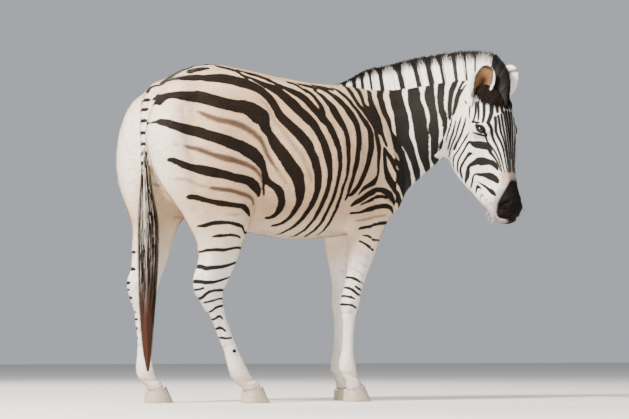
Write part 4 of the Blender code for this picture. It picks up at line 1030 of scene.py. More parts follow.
def tuck_lids(places):
    """Moves the skin by the eyes on to the lids: over the ball outside the opening and
    well behind its face inside it."""
    for side in SIDE_NAMES:
        look, above, front = eye_axes(side)
        offset = places - eye_centre(side)
        far = np.linalg.norm(offset, axis=1)
        ahead = offset @ look
        along, rise = offset @ front, offset @ above
        flat = np.hypot(along, rise)
        near = (far < 0.060) & (ahead > -0.034)
        edge = lid_edge(along, rise)
        ball = np.sqrt(np.maximum(EYE_RADIUS**2 - flat**2, 0))
        # outside the opening the lids lie on the ball and run out on to the face
        shell = EYE_RADIUS + 0.0012
        turned = 0.80 * shell
        dome = np.where(
            flat < turned, np.sqrt(np.maximum(shell**2 - flat**2, 0)), 0.6 * shell - 1.333 * (flat - turned)
        )
        share = np.clip(0.5 + 0.5 * (dome - ahead) / 0.005, 0, 1)
        over = dome * share + ahead * (1 - share) + 0.005 * share * (1 - share)
        over = over + 0.0013 * np.exp(-(((edge - 0.0020) / 0.0022) ** 2))
        over = over - 0.0016 * np.exp(-(((edge - 0.0085) / 0.0022) ** 2)) * smooth(-0.004, 0.004, rise)
        inside = smooth(0.0, 0.0014, -edge)
        wanted = over * (1 - inside) + (ball - 0.0060) * inside
        shift = np.where(near, wanted - ahead, 0.0) * (1 - smooth(0.040, 0.058, far))
        places = places + shift[:, None] * look
    return places


def make_skin():
    """The one skin, inside the solids by the depth of the coat, with its relief."""
    mesh = remeshed(merged(FLESH, OVERLAP), SKIN_VOXEL)
    places = places_of(mesh)
    pairs = edges_of(mesh)
    head = head_share(places)
    low = 1 - smooth(0.55, 0.75, places[:, 2])
    strength = 1.0 - 0.62 * head - 0.45 * low * (1 - head)
    places = smoothed(places, pairs, 28, strength)
    run, height, _ = body_map(places)
    trunk = smooth(0.72, 0.85, height) * (1 - smooth(0.45, 0.6, run)) * (1 - head)
    places = smoothed(places, pairs, 50, trunk)
    put_places(mesh, places)
    head = head_share(places)
    refine(mesh, head > 0.3)
    places = places_of(mesh)
    down = head_frame(places)[:, 0]
    refine(mesh, (head_share(places) > 0.3) & ((down > 0.49) | (from_eyes(places) < 0.052)))
    places = places_of(mesh)
    refine(mesh, from_eyes(places) < 0.036)
    places = places_of(mesh)
    places = smoothed(places, edges_of(mesh), 10, 0.8 * head_share(places))
    put_places(mesh, places)
    normals = normals_of(mesh)
    head = head_share(places)
    run, height, _ = body_map(places)
    # relief of muscle, bone, tendon and fold
    lift = relief(BODY_RELIEF, run, height) * (1 - head)
    rib = np.sin((run - RIB_FROM) / (RIB_TO - RIB_FROM) * RIBS * 2 * math.pi + 2.0 * (1.05 - height))
    ribbed = smooth(RIB_FROM, RIB_FROM + 0.05, run) * (1 - smooth(RIB_TO - 0.05, RIB_TO, run))
    ribbed = ribbed * smooth(0.80, 0.90, height) * (1 - smooth(1.10, 1.20, height))
    lift += RIB_HEIGHT * rib * ribbed
    turn, down = head_map(places)
    turn = -np.abs(turn) * HEAD_TURN
    on_head = head > 0.5
    lift += relief(HEAD_RELIEF, turn, down, HEAD_TURN) * on_head
    for depth, radius, line in (NOSTRIL_LINE, MOUTH_LINE):
        distance = edge_of(thin(line), turn, down)
        lift -= depth * np.exp(-((distance / radius) ** 2)) * on_head
    legs = 1 - smooth(0.60, 0.80, height)
    depth = COAT_DEPTH * (1 - 0.55 * np.maximum(legs, head))
    muzzle = smooth(0.48, 0.56, down) * head
    depth = depth * (1 - 0.5 * muzzle) + OVERLAP
    places = places + normals * (lift - depth)[:, None]
    places = tuck_lids(places)
    # a dip under the root of each ear keeps the skin out of its hollow
    for side in SIDE_NAMES:
        root, run_way, along, opening, beside = ear_axes(side)
        offset = places - root
        share = offset @ run_way / (run_way @ run_way)
        ahead, across = offset @ opening, offset @ beside
        hollow = np.exp(-((across / 0.026) ** 2) - (((share - 0.18) / 0.17) ** 2))
        hollow = hollow * smooth(-0.012, 0.012, ahead)
        places = places - along * (0.030 * hollow)[:, None]
    put_places(mesh, places)
    shaded_smooth(mesh)
    normals = normals_of(mesh)
    inner = -normals[:, 1] * aside_of_leg(places)
    mark(mesh, *markings(places, inner), 0.5)
    return mesh


def aside_of_leg(places):
    """1 for points on the animal's left, -1 for its right."""
    return np.where(places[:, 1] > 0, 1.0, -1.0)


# ---- materials ----------------------------------------------------------------------
def socket(group, name, kind, way, value=None):
    made = group.interface.new_socket(name=name, in_out=way, socket_type=kind)
    if value is not None:
        made.default_value = value


def node(tree, kind, **settings):
    made = tree.nodes.new(kind)
    for name, value in settings.items():
        setattr(made, name, value)
    return made


def attribute(tree, name):
    return node(tree, "ShaderNodeAttribute", attribute_name=name)


def maths(tree, operation, first, second=None, clamp=False):
    made = node(tree, "ShaderNodeMath", operation=operation, use_clamp=clamp)
    for slot_number, value in enumerate((first, second)):
        if value is None:
            continue
        if isinstance(value, (int, float)):
            made.inputs[slot_number].default_value = value
        else:
            tree.links.new(value, made.inputs[slot_number])
    return made.outputs[0]


def mixed(tree, share, first, second, way="MIX"):
    made = node(tree, "ShaderNodeMix", data_type="RGBA", blend_type=way)
    for name, value in (("Factor", share), ("A", first), ("B", second)):
        entry = [s for s in made.inputs if s.name == name and s.enabled][0]
        if isinstance(value, (int, float)):
            entry.default_value = value
        elif isinstance(value, tuple):
            entry.default_value = (*value, 1.0)[:4]
        else:
            tree.links.new(value, entry)
    return [s for s in made.outputs if s.enabled][0]


def noise(tree, scale, detail=2.0, rough=0.5, place=None):
    made = node(tree, "ShaderNodeTexNoise")
    made.inputs["Scale"].default_value = scale
    made.inputs["Detail"].default_value = detail
    made.inputs["Roughness"].default_value = rough
    if place is not None:
        tree.links.new(place, made.inputs["Vector"])
    return made.outputs["Fac"]


def coat_group():
    """The coat's colour from its markings, and its fine bump."""
    tree = bpy.data.node_groups.new("coat_colours", "ShaderNodeTree")
    socket(tree, "Softness", "NodeSocketFloat", "INPUT", 0.0010)
    socket(tree, "Contrast", "NodeSocketFloat", "INPUT", 0.25)
    socket(tree, "Colour", "NodeSocketColor", "OUTPUT")
    socket(tree, "Height", "NodeSocketFloat", "OUTPUT")
    entry = node(tree, "NodeGroupInput")
    leave = node(tree, "NodeGroupOutput")
    place = node(tree, "ShaderNodeTexCoord").outputs["Object"]
    edge = attribute(tree, "edge").outputs["Fac"]
    brown = attribute(tree, "brown").outputs["Fac"]
    ground = attribute(tree, "ground").outputs["Color"]
    tone = attribute(tree, "tone").outputs["Fac"]
    ragged = maths(tree, "MULTIPLY", maths(tree, "SUBTRACT", noise(tree, 420, 1.0, 0.5, place), 0.5), 0.0022)
    level = maths(tree, "DIVIDE", maths(tree, "ADD", edge, ragged), entry.outputs["Softness"])
    dark = maths(tree, "SUBTRACT", 0.5, maths(tree, "MULTIPLY", level, 0.5), clamp=True)
    hair = noise(tree, 900, 2.0, 0.6, place)
    cloud = noise(tree, 16, 3.0, 0.55, place)
    colour = mixed(tree, maths(tree, "MULTIPLY", brown, 0.92), ground, BROWN)
    colour = mixed(tree, maths(tree, "MULTIPLY", dark, 0.985), colour, BLACK)
    vary = maths(tree, "ADD", maths(tree, "MULTIPLY", tone, 0.62), maths(tree, "MULTIPLY", hair, 0.38))
    vary = maths(tree, "ADD", vary, maths(tree, "MULTIPLY", maths(tree, "SUBTRACT", cloud, 0.5), 0.35))
    low = maths(tree, "SUBTRACT", 1.0, entry.outputs["Contrast"])
    spread = maths(tree, "MULTIPLY", entry.outputs["Contrast"], 2.0)
    bright = maths(tree, "ADD", low, maths(tree, "MULTIPLY", vary, spread))
    shade = node(tree, "ShaderNodeCombineColor")
    for channel in ("Red", "Green", "Blue"):
        tree.links.new(bright, shade.inputs[channel])
    colour = mixed(tree, 1.0, colour, shade.outputs[0], "MULTIPLY")
    tree.links.new(colour, leave.inputs["Colour"])
    tree.links.new(hair, leave.inputs["Height"])
    return tree


def bumped(tree, height, strength, distance):
    """Lifts the surface of the tree's Principled shader."""
    bump = node(tree, "ShaderNodeBump")
    bump.inputs["Strength"].default_value = strength
    bump.inputs["Distance"].default_value = distance
    tree.links.new(height, bump.inputs["Height"])
    tree.links.new(bump.outputs["Normal"], tree.nodes["Principled BSDF"].inputs["Normal"])


def plain(name, colour, rough, **extra):
    """A Principled material with named constants."""
    made = bpy.data.materials.new(name)
    made.use_nodes = True
    shader = made.node_tree.nodes["Principled BSDF"]
    shader.inputs["Base Color"].default_value = (*colour, 1.0)
    shader.inputs["Roughness"].default_value = rough
    for key, value in extra.items():
        shader.inputs[key.replace("_", " ")].default_value = value
    return made


def coat_material(name, group, rough, softness, contrast, bump, sheen=0.0):
    made = plain(name, CREAM, rough, Specular_IOR_Level=0.04, Sheen_Weight=sheen, Sheen_Roughness=0.45)
    tree = made.node_tree
    shader = tree.nodes["Principled BSDF"]
    coat = node(tree, "ShaderNodeGroup", node_tree=group)
    coat.inputs["Softness"].default_value = softness
    coat.inputs["Contrast"].default_value = contrast
    tree.links.new(coat.outputs["Colour"], shader.inputs["Base Color"])
    if bump:
        bumped(tree, coat.outputs["Height"], bump, 0.0012)
    return made


# ---- coat ---------------------------------------------------------------------------
LEG_ASIDE = 0.120  # of a leg's middle from the body's
BAKE_PATCH = 0.003  # across each strip's patch of the OFBake map
ROOT_SUNK = 0.0004
TUFT_LENGTH, TUFT_WIDTH, TUFT_LIFT = 0.0155, 0.0026, 0.0017  # on the trunk; less elsewhere
LIDS_BARE = 0.0046  # without hair round the lids' opening
TRUNK_MIDDLE, NECK_MIDDLE = 0.98, 1.16  # heights
LEG_COAT_TOP = 0.665  # where the pieces of the legs' coat end
FIRST_COAT_SEED = 100


def lie_of_coat(places, normals, random):
    """The way the hair lies, along the surface."""
    run, height, _ = body_map(places)
    knots = np.concatenate([[0], np.cumsum(np.linalg.norm(np.diff(SPINE, axis=0), axis=1))]) + SPINE[0, 0]
    ahead = unit(np.stack([np.gradient(SPINE[:, axis], knots) for axis in (0, 1)], axis=1))
    level = [np.interp(run, knots, ahead[:, axis]) for axis in (0, 1)]
    heading = np.stack(level + [np.zeros(len(run))], axis=1)
    neck = smooth(0.38, 0.55, run)
    fall = 0.45 + 0.55 * neck + 0.25 * wobble(places, 5, 4.0)
    way = -heading - UP * fall[:, None]
    legs = 1 - smooth(0.62, 0.86, height)
    under = smooth(-0.2, -0.8, normals[:, 2]) * (height > 0.6)
    way = blend(way, -UP - heading * 0.15, legs * (1 - under))
    way = way * (1 - under[:, None]) - heading * under[:, None]
    head = head_share(places)
    turn, _ = head_map(places)
    cheek = smooth(30, 80, np.abs(turn))
    face = DOWN + (-OUT)[None, :] * (0.55 * cheek)[:, None]
    face = face + ACROSS * (np.sign(turn) * 0.25 * smooth(4, 20, np.abs(turn)) * (1 - cheek))[:, None]
    way = blend(way, face, head)
    way = along_surface(way, normals)
    beside = np.cross(normals, way)
    veer = random.normal(0, 0.15, len(places)) + 0.16 * wobble(places, 30, 5.0)
    return unit(way * np.cos(veer)[:, None] + beside * np.sin(veer)[:, None])


def scattered(mesh, weights, count, random):
    """Random points on a mesh: (places, normals), thickest where the corners weigh most."""
    mesh.calc_loop_triangles()
    corners = np.empty(len(mesh.loop_triangles) * 3, dtype=np.int32)
    mesh.loop_triangles.foreach_get("vertices", corners)
    corners = corners.reshape(-1, 3)
    places, normals = places_of(mesh), normals_of(mesh)
    a, b, c = (places[corners[:, i]] for i in range(3))
    area = np.linalg.norm(np.cross(b - a, c - a), axis=1) * 0.5 * weights[corners].mean(axis=1)
    total = np.cumsum(area)
    picked = np.searchsorted(total, random.random(count) * total[-1])
    picked = np.minimum(picked, len(corners) - 1)
    first, second = random.random((2, count))
    over = first + second > 1
    first, second = np.where(over, 1 - first, first), np.where(over, 1 - second, second)
    third = 1 - first - second
    shares = (third, first, second)
    made = sum(places[corners[picked, i]] * shares[i][:, None] for i in range(3))
    facing = unit(sum(normals[corners[picked, i]] * shares[i][:, None] for i in range(3)))
    return made, facing


def joined_strips(name, rows, widths, beside, facing, values, charts, material):
    """One mesh of tapering strips. rows is (strips, points, 3); the last point is a tip.
    values holds arrays of one value a strip or one a point; charts is where each strip
    gets its small patch of the OFBake map. In the coat that is the root's place on an
    unwrap of the skin."""
    count, points = rows.shape[:2]
    body = points - 1
    heading = rows[:, 1] - rows[:, 0]
    outward = facing if facing.ndim == 2 else facing[:, 0]
    turned = np.sum(np.cross(beside, heading) * outward, axis=1) < 0
    beside = np.where(turned[:, None], -beside, beside)
    left = rows[:, :body] - beside[:, None] * widths[:, :body, None] * 0.5
    right = rows[:, :body] + beside[:, None] * widths[:, :body, None] * 0.5
    each = 2 * body + 1
    places = np.empty((count, each, 3))
    places[:, 0:-1:2] = left
    places[:, 1::2] = right
    places[:, -1] = rows[:, -1]
    quads = body - 1
    shape = []
    for step in range(quads):
        shape += [2 * step, 2 * step + 1, 2 * step + 3, 2 * step + 2]
    shape += [2 * quads, 2 * quads + 1, each - 1]
    shape = np.array(shape)
    loops = (shape[None, :] + np.arange(count)[:, None] * each).astype(np.int32)
    sizes = np.array([4] * quads + [3])
    faces = np.tile(sizes, count)
    starts = np.concatenate([[0], np.cumsum(faces)[:-1]]).astype(np.int32)
    mesh = bpy.data.meshes.new(name)
    mesh.vertices.add(count * each)
    mesh.vertices.foreach_set("co", places.astype(np.float32).ravel())
    mesh.loops.add(loops.size)
    mesh.loops.foreach_set("vertex_index", loops.ravel())
    mesh.polygons.add(len(faces))
    mesh.polygons.foreach_set("loop_start", starts)
    mesh.update(calc_edges=True)
    shaded_smooth(mesh)
    step_of = np.array([step for step in range(body) for _ in (0, 1)] + [body])
    for key, value in values.items():
        value = np.asarray(value)
        if key == "ground":
            value = value if value.ndim == 3 else np.repeat(value[:, None], points, axis=1)
            put_colour(mesh, key, value[:, step_of].reshape(-1, 3))
        else:
            value = value if value.ndim == 2 else np.repeat(value[:, None], points, axis=1)
            put_value(mesh, key, value[:, step_of].ravel())
    across = np.array([-0.5, 0.5] * body + [0.0]) * BAKE_PATCH
    along = (step_of / body - 0.5) * BAKE_PATCH
    corner = charts[:, None] * (1 - BAKE_PATCH) + BAKE_PATCH / 2 + np.stack([across, along], axis=1)[None]
    corner = corner.reshape(-1, 2)[loops.ravel()]
    layer = mesh.uv_layers.new(name="OFBake")
    layer.data.foreach_set("uv", corner.astype(np.float32).ravel())
    normals = np.repeat(facing[:, None], each, axis=1) if facing.ndim == 2 else facing[:, step_of]
    mesh.normals_split_custom_set_from_vertices(normals.reshape(-1, 3).tolist())
    return placed(name, mesh, material)


def tuft_rows(roots, normals, ways, lengths, lifts):
    """Three points a tuft: sunk root, middle and tip."""
    sunk = roots - normals * ROOT_SUNK
    middle = roots + ways * (0.5 * lengths)[:, None] + normals * (0.62 * lifts)[:, None]
    tip = roots + ways * lengths[:, None] + normals * lifts[:, None]
    return np.stack([sunk, middle, tip], axis=1)


def hair_of(places):
    """(length, width, lift) of the short coat at points."""
    _, height, _ = body_map(places)
    head = head_share(places)
    _, down = head_map(places)
    legs = 1 - smooth(0.50, 0.80, height)
    muzzle = smooth(0.44, 0.56, down) * head
    length = TUFT_LENGTH * (1 - 0.38 * legs - 0.50 * head - 0.22 * muzzle)
    low = (1 - smooth(0.05, 0.20, height)) * (1 - head)
    length = length * (1 - 0.15 * low)
    width = TUFT_WIDTH * (1 - 0.25 * legs - 0.42 * head - 0.12 * muzzle)
    lift = TUFT_LIFT * (1 - 0.35 * legs - 0.45 * head - 0.15 * muzzle)
    return length, width, lift


def coat_piece(name, mesh, weights, count, chart, material, seed):
    random = np.random.default_rng(seed)
    count = int(count * COAT_SHARE)
    roots, normals = scattered(mesh, weights, count, random)
    ways = lie_of_coat(roots, normals, random)
    length, width, lift = hair_of(roots)
    # the hair parts round the lids, the nostrils and the mouth
    turn, down = head_map(roots)
    on_head = head_share(roots) > 0.5
    flat_turn = -np.abs(turn) * HEAD_TURN
    bare = lids_apart(roots) < LIDS_BARE
    for _, radius, line in (NOSTRIL_LINE, MOUTH_LINE):
        bare |= on_head & (edge_of(thin(line), flat_turn, down) < radius * 1.15)
    keep = ~bare
    roots, normals, ways = roots[keep], normals[keep], ways[keep]
    length, width, lift = length[keep], width[keep], lift[keep]
    count = len(roots)
    length = length * random.uniform(0.75, 1.2, count)
    width = width * random.uniform(0.75, 1.2, count)
    lift = lift * random.uniform(0.55, 1.25, count)
    inner = -normals[:, 1] * aside_of_leg(roots)
    first = markings(roots + ways * (0.30 * length)[:, None], inner)
    last = markings(roots + ways * (0.85 * length)[:, None], inner)
    edge, brown, ground = (np.stack([a, (a + b) / 2, b], axis=1) for a, b in zip(first, last))
    tone = np.clip(random.normal(0.5, 0.20, count), 0, 1)
    beside = unit(np.cross(normals, ways))
    rows = tuft_rows(roots, normals, ways, length, lift)
    widths = width[:, None] * np.array((0.8, 1.0, 0.0))
    facing = unit(normals + ways * 0.16 + random.normal(0, 0.10, (count, 3)))
    values = {"edge": edge, "brown": brown, "ground": ground, "tone": tone}
    charts = np.clip(chart(roots), 0, 1)
    return joined_strips(name, rows, widths, beside, facing, values, charts, material)


def turn_share(first, second):
    """An angle as a share of the whole turn."""
    return np.arctan2(first, second) / (2 * math.pi) + 0.5


def trunk_chart(places):
    run, aside = along_spine(places)
    angle = np.abs(np.arctan2(aside, places[:, 2] - TRUNK_MIDDLE)) / math.pi
    return np.stack([(run + 0.80) / 1.75, angle], axis=1)


def neck_chart(places):
    run, aside = along_spine(places)
    angle = turn_share(aside, places[:, 2] - NECK_MIDDLE)
    return np.stack([(run - 0.30) / 0.62, angle], axis=1)


def head_chart(places):
    turn, down = head_map(places)
    return np.stack([turn / 360 + 0.5, (down + 0.06) / 0.72], axis=1)


def leg_chart(line):
    def chart(places):
        side = aside_of_leg(places)
        right, left = (leg_middle(line, places[:, 2], each) for each in SIDE_NAMES)
        middle = np.where(side < 0, right, left)
        angle = turn_share(places[:, 1] - LEG_ASIDE * side, places[:, 0] - middle)
        return np.stack([(angle + (side > 0)) / 2, places[:, 2] / 0.82], axis=1)

    return chart


def make_coat(skin, material):
    places = places_of(skin)
    run, _, aside = body_map(places)
    head = head_share(places)
    leg = (places[:, 2] < LEG_COAT_TOP).astype(float) * (1 - head)
    neck = smooth(0.398, 0.402, run) * (1 - head) * (1 - leg)
    trunk = (1 - neck) * (1 - head) * (1 - leg)
    right = (aside < 0).astype(float)
    front = (run > -0.16).astype(float)
    hind = (places[:, 0] < -0.02).astype(float)
    face = head * (1 + 0.3 * smooth(0.40, 0.55, head_frame(places)[:, 0]))
    pieces = (
        ("coat_head", face, 62000, head_chart),
        ("coat_neck", neck, 50000, neck_chart),
        ("coat_trunk_front_right", trunk * front * right, 43500, trunk_chart),
        ("coat_trunk_front_left", trunk * front * (1 - right), 43500, trunk_chart),
        ("coat_trunk_rear_right", trunk * (1 - front) * right, 45000, trunk_chart),
        ("coat_trunk_rear_left", trunk * (1 - front) * (1 - right), 45000, trunk_chart),
        ("coat_forelegs", leg * (1 - hind), 44000, leg_chart(FORE_LINE)),
        ("coat_hindlegs", leg * hind, 50000, leg_chart(HIND_LINE)),
    )
    made = []
    for seed, (name, weights, count, chart) in enumerate(pieces):
        made.append(coat_piece(name, skin, weights, count, chart, material, FIRST_COAT_SEED + seed))
    return made


# ---- mane ---------------------------------------------------------------------------
# root on the crest, tip of the hair, half width at the root
MANE_ON_NECK = (
    ((0.255, 0.000, 1.316), (0.258, 0.000, 1.330), 0.010),
    ((0.300, 0.000, 1.312), (0.300, 0.000, 1.348), 0.013),
    ((0.360, -0.004, 1.308), (0.355, -0.004, 1.380), 0.015),
    ((0.420, -0.013, 1.312), (0.410, -0.012, 1.408), 0.016),
    ((0.498, -0.033, 1.318), (0.482, -0.027, 1.426), 0.017),
    ((0.588, -0.072, 1.328), (0.566, -0.060, 1.452), 0.018),
    ((0.668, -0.125, 1.340), (0.646, -0.108, 1.470), 0.018),
    ((0.738, -0.195, 1.348), (0.724, -0.178, 1.484), 0.018),
    ((0.785, -0.258, 1.345), (0.780, -0.248, 1.488), 0.019),
)
# the same over the poll, each point as (down the face, in front)
MANE_ON_HEAD = (
    ((0.030, 0.000), (-0.108, 0.048), 0.020),
    ((0.040, 0.035), (-0.068, 0.092), 0.021),
    ((0.062, 0.048), (-0.012, 0.122), 0.022),
    ((0.090, 0.060), (0.044, 0.126), 0.022),
    ((0.118, 0.068), (0.098, 0.110), 0.020),
    ((0.142, 0.074), (0.136, 0.096), 0.014),
)
MANE_HAIRS = 11500
MANE_TIP_SHARE = 0.23  # of a mane hair that is dark
# dark bands of the mane: middle and half width, as shares of its length
MANE_BANDS = (
    (0.050, 0.020), (0.115, 0.020), (0.165, 0.013), (0.2125, 0.009), (0.260, 0.013), (0.3275, 0.0105),
    (0.3825, 0.0105), (0.425, 0.013), (0.4600, 0.0065), (0.505, 0.0066), (0.5425, 0.0040), (0.580, 0.0042),
)
FORELOCK_FROM = 0.665  # of the mane's length; all dark in front of this
FORELOCK_HAIRS = 3400
CORE_LINES = 600  # hair lines that the mane's core can take its colour from


def curve_at(points, at):
    """Points along a smooth curve through rows of values, at places from 0 to 1."""
    points = np.asarray(points, float)
    padded = np.concatenate([2 * points[:1] - points[1:2], points, 2 * points[-1:] - points[-2:-1]])
    spans = len(points) - 1
    place = np.clip(at, 0, 1) * spans
    span = np.minimum(place.astype(int), spans - 1)
    t = (place - span)[:, None]
    p0, p1, p2, p3 = (padded[span + i] for i in range(4))
    square, cube = 2 * p0 - 5 * p1 + 4 * p2 - p3, 3 * p1 - p0 - 3 * p2 + p3
    return 0.5 * (2 * p1 + (p2 - p0) * t + square * t**2 + cube * t**3)


def mane_rows():
    rows = [(*root, *tip, half) for root, tip, half in MANE_ON_NECK]
    for (root_down, root_out), (tip_down, tip_out), half in MANE_ON_HEAD:
        rows.append((*from_head(root_down, root_out, 0), *from_head(tip_down, tip_out, 0), half))
    return np.array(rows)


def mane_marks(at):
    """(edge, ground) of mane hair by where it grows."""
    edge = np.full(len(at), CLEAR)
    for middle, half in MANE_BANDS:
        edge = np.minimum(edge, (np.abs(at - middle) - half * 0.82) * 0.9)
    edge = np.minimum(edge, (FORELOCK_FROM - at) * 0.9)
    return edge, filled(WHITE, len(at))


def make_mane(material):
    random = np.random.default_rng(31)
    rows = mane_rows()
    count = int(MANE_HAIRS * COAT_SHARE)
    at = np.sort(random.random(count))
    placed_rows = curve_at(rows, at)
    roots, tips, half = placed_rows[:, :3], placed_rows[:, 3:6], placed_rows[:, 6]
    later = curve_at(rows, np.minimum(at + 0.01, 1.0))
    earlier = curve_at(rows, np.maximum(at - 0.01, 0.0))
    forward = unit((later[:, :3] + later[:, 3:6]) - (earlier[:, :3] + earlier[:, 3:6]))
    rise = tips - roots
    lateral = unit(np.cross(rise, forward))
    share = random.uniform(-1, 1, count)
    bank = np.round((at * 230) + random.normal(0, 0.35, count))
    clump = np.sin(bank * 12.9898) * 43758.5453
    clump = clump - np.floor(clump)
    edge, ground = mane_marks(at + random.normal(0, 0.0018, count))
    length = 0.93 + 0.06 * clump + random.uniform(-0.05, 0.03, count)
    length = length * np.where(np.abs(share) > 0.8, 0.96, 1.0)
    lean = random.normal(0, 0.018, count) + (clump - 0.5) * 0.055
    bow = random.normal(0, 0.05, count) * half
    steps = np.linspace(0, 1, 6)
    points = []
    for step in steps:
        spread = half * share * (0.92 - 0.52 * step) + bow * math.sin(math.pi * step)
        points.append(
            roots - unit(rise) * 0.010
            + rise * (length * step)[:, None] + unit(rise) * (0.010 * step)
            + lateral * spread[:, None]
            + forward * (np.linalg.norm(rise, axis=1) * lean * step**1.6)[:, None]
        )
    points = np.stack(points, axis=1)
    width = random.uniform(0.0022, 0.0042, count)
    widths = width[:, None] * np.array((1.0, 1.0, 0.95, 0.85, 0.6, 0.0))
    up_hair = steps[None] + random.normal(0, 0.03, (count, 1))
    tip_dark = smooth(1 - 1.6 * MANE_TIP_SHARE, 1 - 0.5 * MANE_TIP_SHARE, up_hair)
    edges = edge[:, None] * (1 - tip_dark) - 0.002 * tip_dark
    tip_share = tip_dark[..., None] * 0.9
    grounds = ground[:, None] * (1 - tip_share) + np.array(BROWN) * 0.25 * tip_share
    tone = np.clip(random.normal(0.5, 0.22, count), 0, 1)
    facing = lateral * np.sign(share)[:, None] * (0.55 + 0.45 * np.abs(share))[:, None]
    facing = unit(facing + unit(rise) * 0.25 + random.normal(0, 0.12, (count, 3)))
    charts = np.stack([at, share * 0.5 + 0.5], axis=1)
    values = {"edge": edges, "brown": np.zeros(count), "ground": grounds, "tone": tone}
    return joined_strips("mane_hair", points, widths, unit(forward), facing, values, charts, material)


def make_forelock(finder, material):
    """Dark hair that falls from the front of the mane over the forehead."""
    random = np.random.default_rng(37)
    count = int(FORELOCK_HAIRS * COAT_SHARE)
    steps = np.linspace(0, 1, 7)
    points, facings = [], []
    while len(points) < count:
        turn = random.normal(-7, 17)
        down = random.uniform(0.030, 0.105) - 0.0006 * abs(turn)
        way_aside = np.sign(turn) * random.uniform(0.2, 0.9) + random.normal(0, 0.15)
        length = random.uniform(0.028, 0.092) * (1.15 - down * 3.0) * (1 - 0.008 * abs(turn))
        path = []
        lift = random.uniform(0.002, 0.010)
        for step in steps:
            at_turn = turn + way_aside * 38 * step * length / 0.07
            place, normal = on_skin(finder, at_turn, down + length * step * 0.92)
            path.append(place + normal * (-0.001 + lift * math.sin(math.pi * min(step * 1.1 + 0.06, 1.0))))
        points.append(path)
        facings.append(unit(normal + random.normal(0, 0.15, 3)))
    points, facing = np.array(points), np.array(facings)
    width = random.uniform(0.0014, 0.0028, count)
    widths = width[:, None] * np.array((0.9, 1.0, 1.0, 0.9, 0.75, 0.5, 0.0))
    beside = unit(np.cross(facing, points[:, 3] - points[:, 0]))
    pale = (random.random(count) < 0.10)[:, None]
    ground = np.where(pale, np.array(BROWN) * 0.45, np.array(BLACK) * 1.5)
    values = unstriped(ground, np.clip(random.normal(0.5, 0.2, count), 0, 1))
    # these patches lie in the order of making, not at the roots' places
    charts = np.stack([np.linspace(0, 1, count), random.random(count)], axis=1)
    return joined_strips("forelock_hair", points, widths, beside, facing, values, charts, material)


def make_mane_core(material):
    """The dense middle of the mane, inside its hair."""
    mesh = remeshed(mesh_of(node_form("mane", -0.0045), "mane_core"), 0.0045)
    places = smoothed(places_of(mesh), edges_of(mesh), 6, 1.0)
    put_places(mesh, places)
    rows = mane_rows()
    at = np.linspace(0, 1, CORE_LINES)
    line = curve_at(rows, at)
    # the nearest hair line decides the colour
    best = np.full(len(places), 1e9)
    chosen = np.zeros(len(places), dtype=int)
    rise_share = np.zeros(len(places))
    for i in range(0, CORE_LINES, 2):
        root, tip = line[i, :3], line[i, 3:6]
        step = tip - root
        share = np.clip((places - root) @ step / (step @ step), 0, 1)
        apart = np.linalg.norm(places - root - share[:, None] * step, axis=1)
        closer = apart < best
        best = np.where(closer, apart, best)
        chosen = np.where(closer, i, chosen)
        rise_share = np.where(closer, share, rise_share)
    edge, ground = mane_marks(at[chosen])
    tip_dark = smooth(0.70, 0.92, rise_share)
    # the hair's colours painted a quarter darker: painted shade inside the mane
    mark(mesh, edge * (1 - tip_dark) - 0.004 * tip_dark, 0.0, ground * 0.75, 0.3)
    shaded_smooth(mesh)
    return placed("mane_core", mesh, material)


# ---- tail ---------------------------------------------------------------------------
# the line that the tail's hair follows, from the dock down: place and radius
TAIL_TUFT = (
    (-0.672, 0.000, 0.925, 0.0165),
    (-0.672, 0.000, 0.9047, 0.0190),
    (-0.669, 0.000, 0.850, 0.022),
    (-0.664, 0.000, 0.770, 0.035),
    (-0.660, 0.000, 0.690, 0.041),
    (-0.659, 0.000, 0.590, 0.042),
    (-0.660, 0.000, 0.450, 0.038),
    (-0.662, 0.000, 0.300, 0.030),
    (-0.660, 0.000, 0.190, 0.022),
    (-0.656, 0.000, 0.120, 0.010),
)
TAIL_LOCKS = 240
HAIRS_A_LOCK = 29
GREY_HAIR = (0.42, 0.38, 0.34)
RED_HAIR = (0.080, 0.032, 0.020)


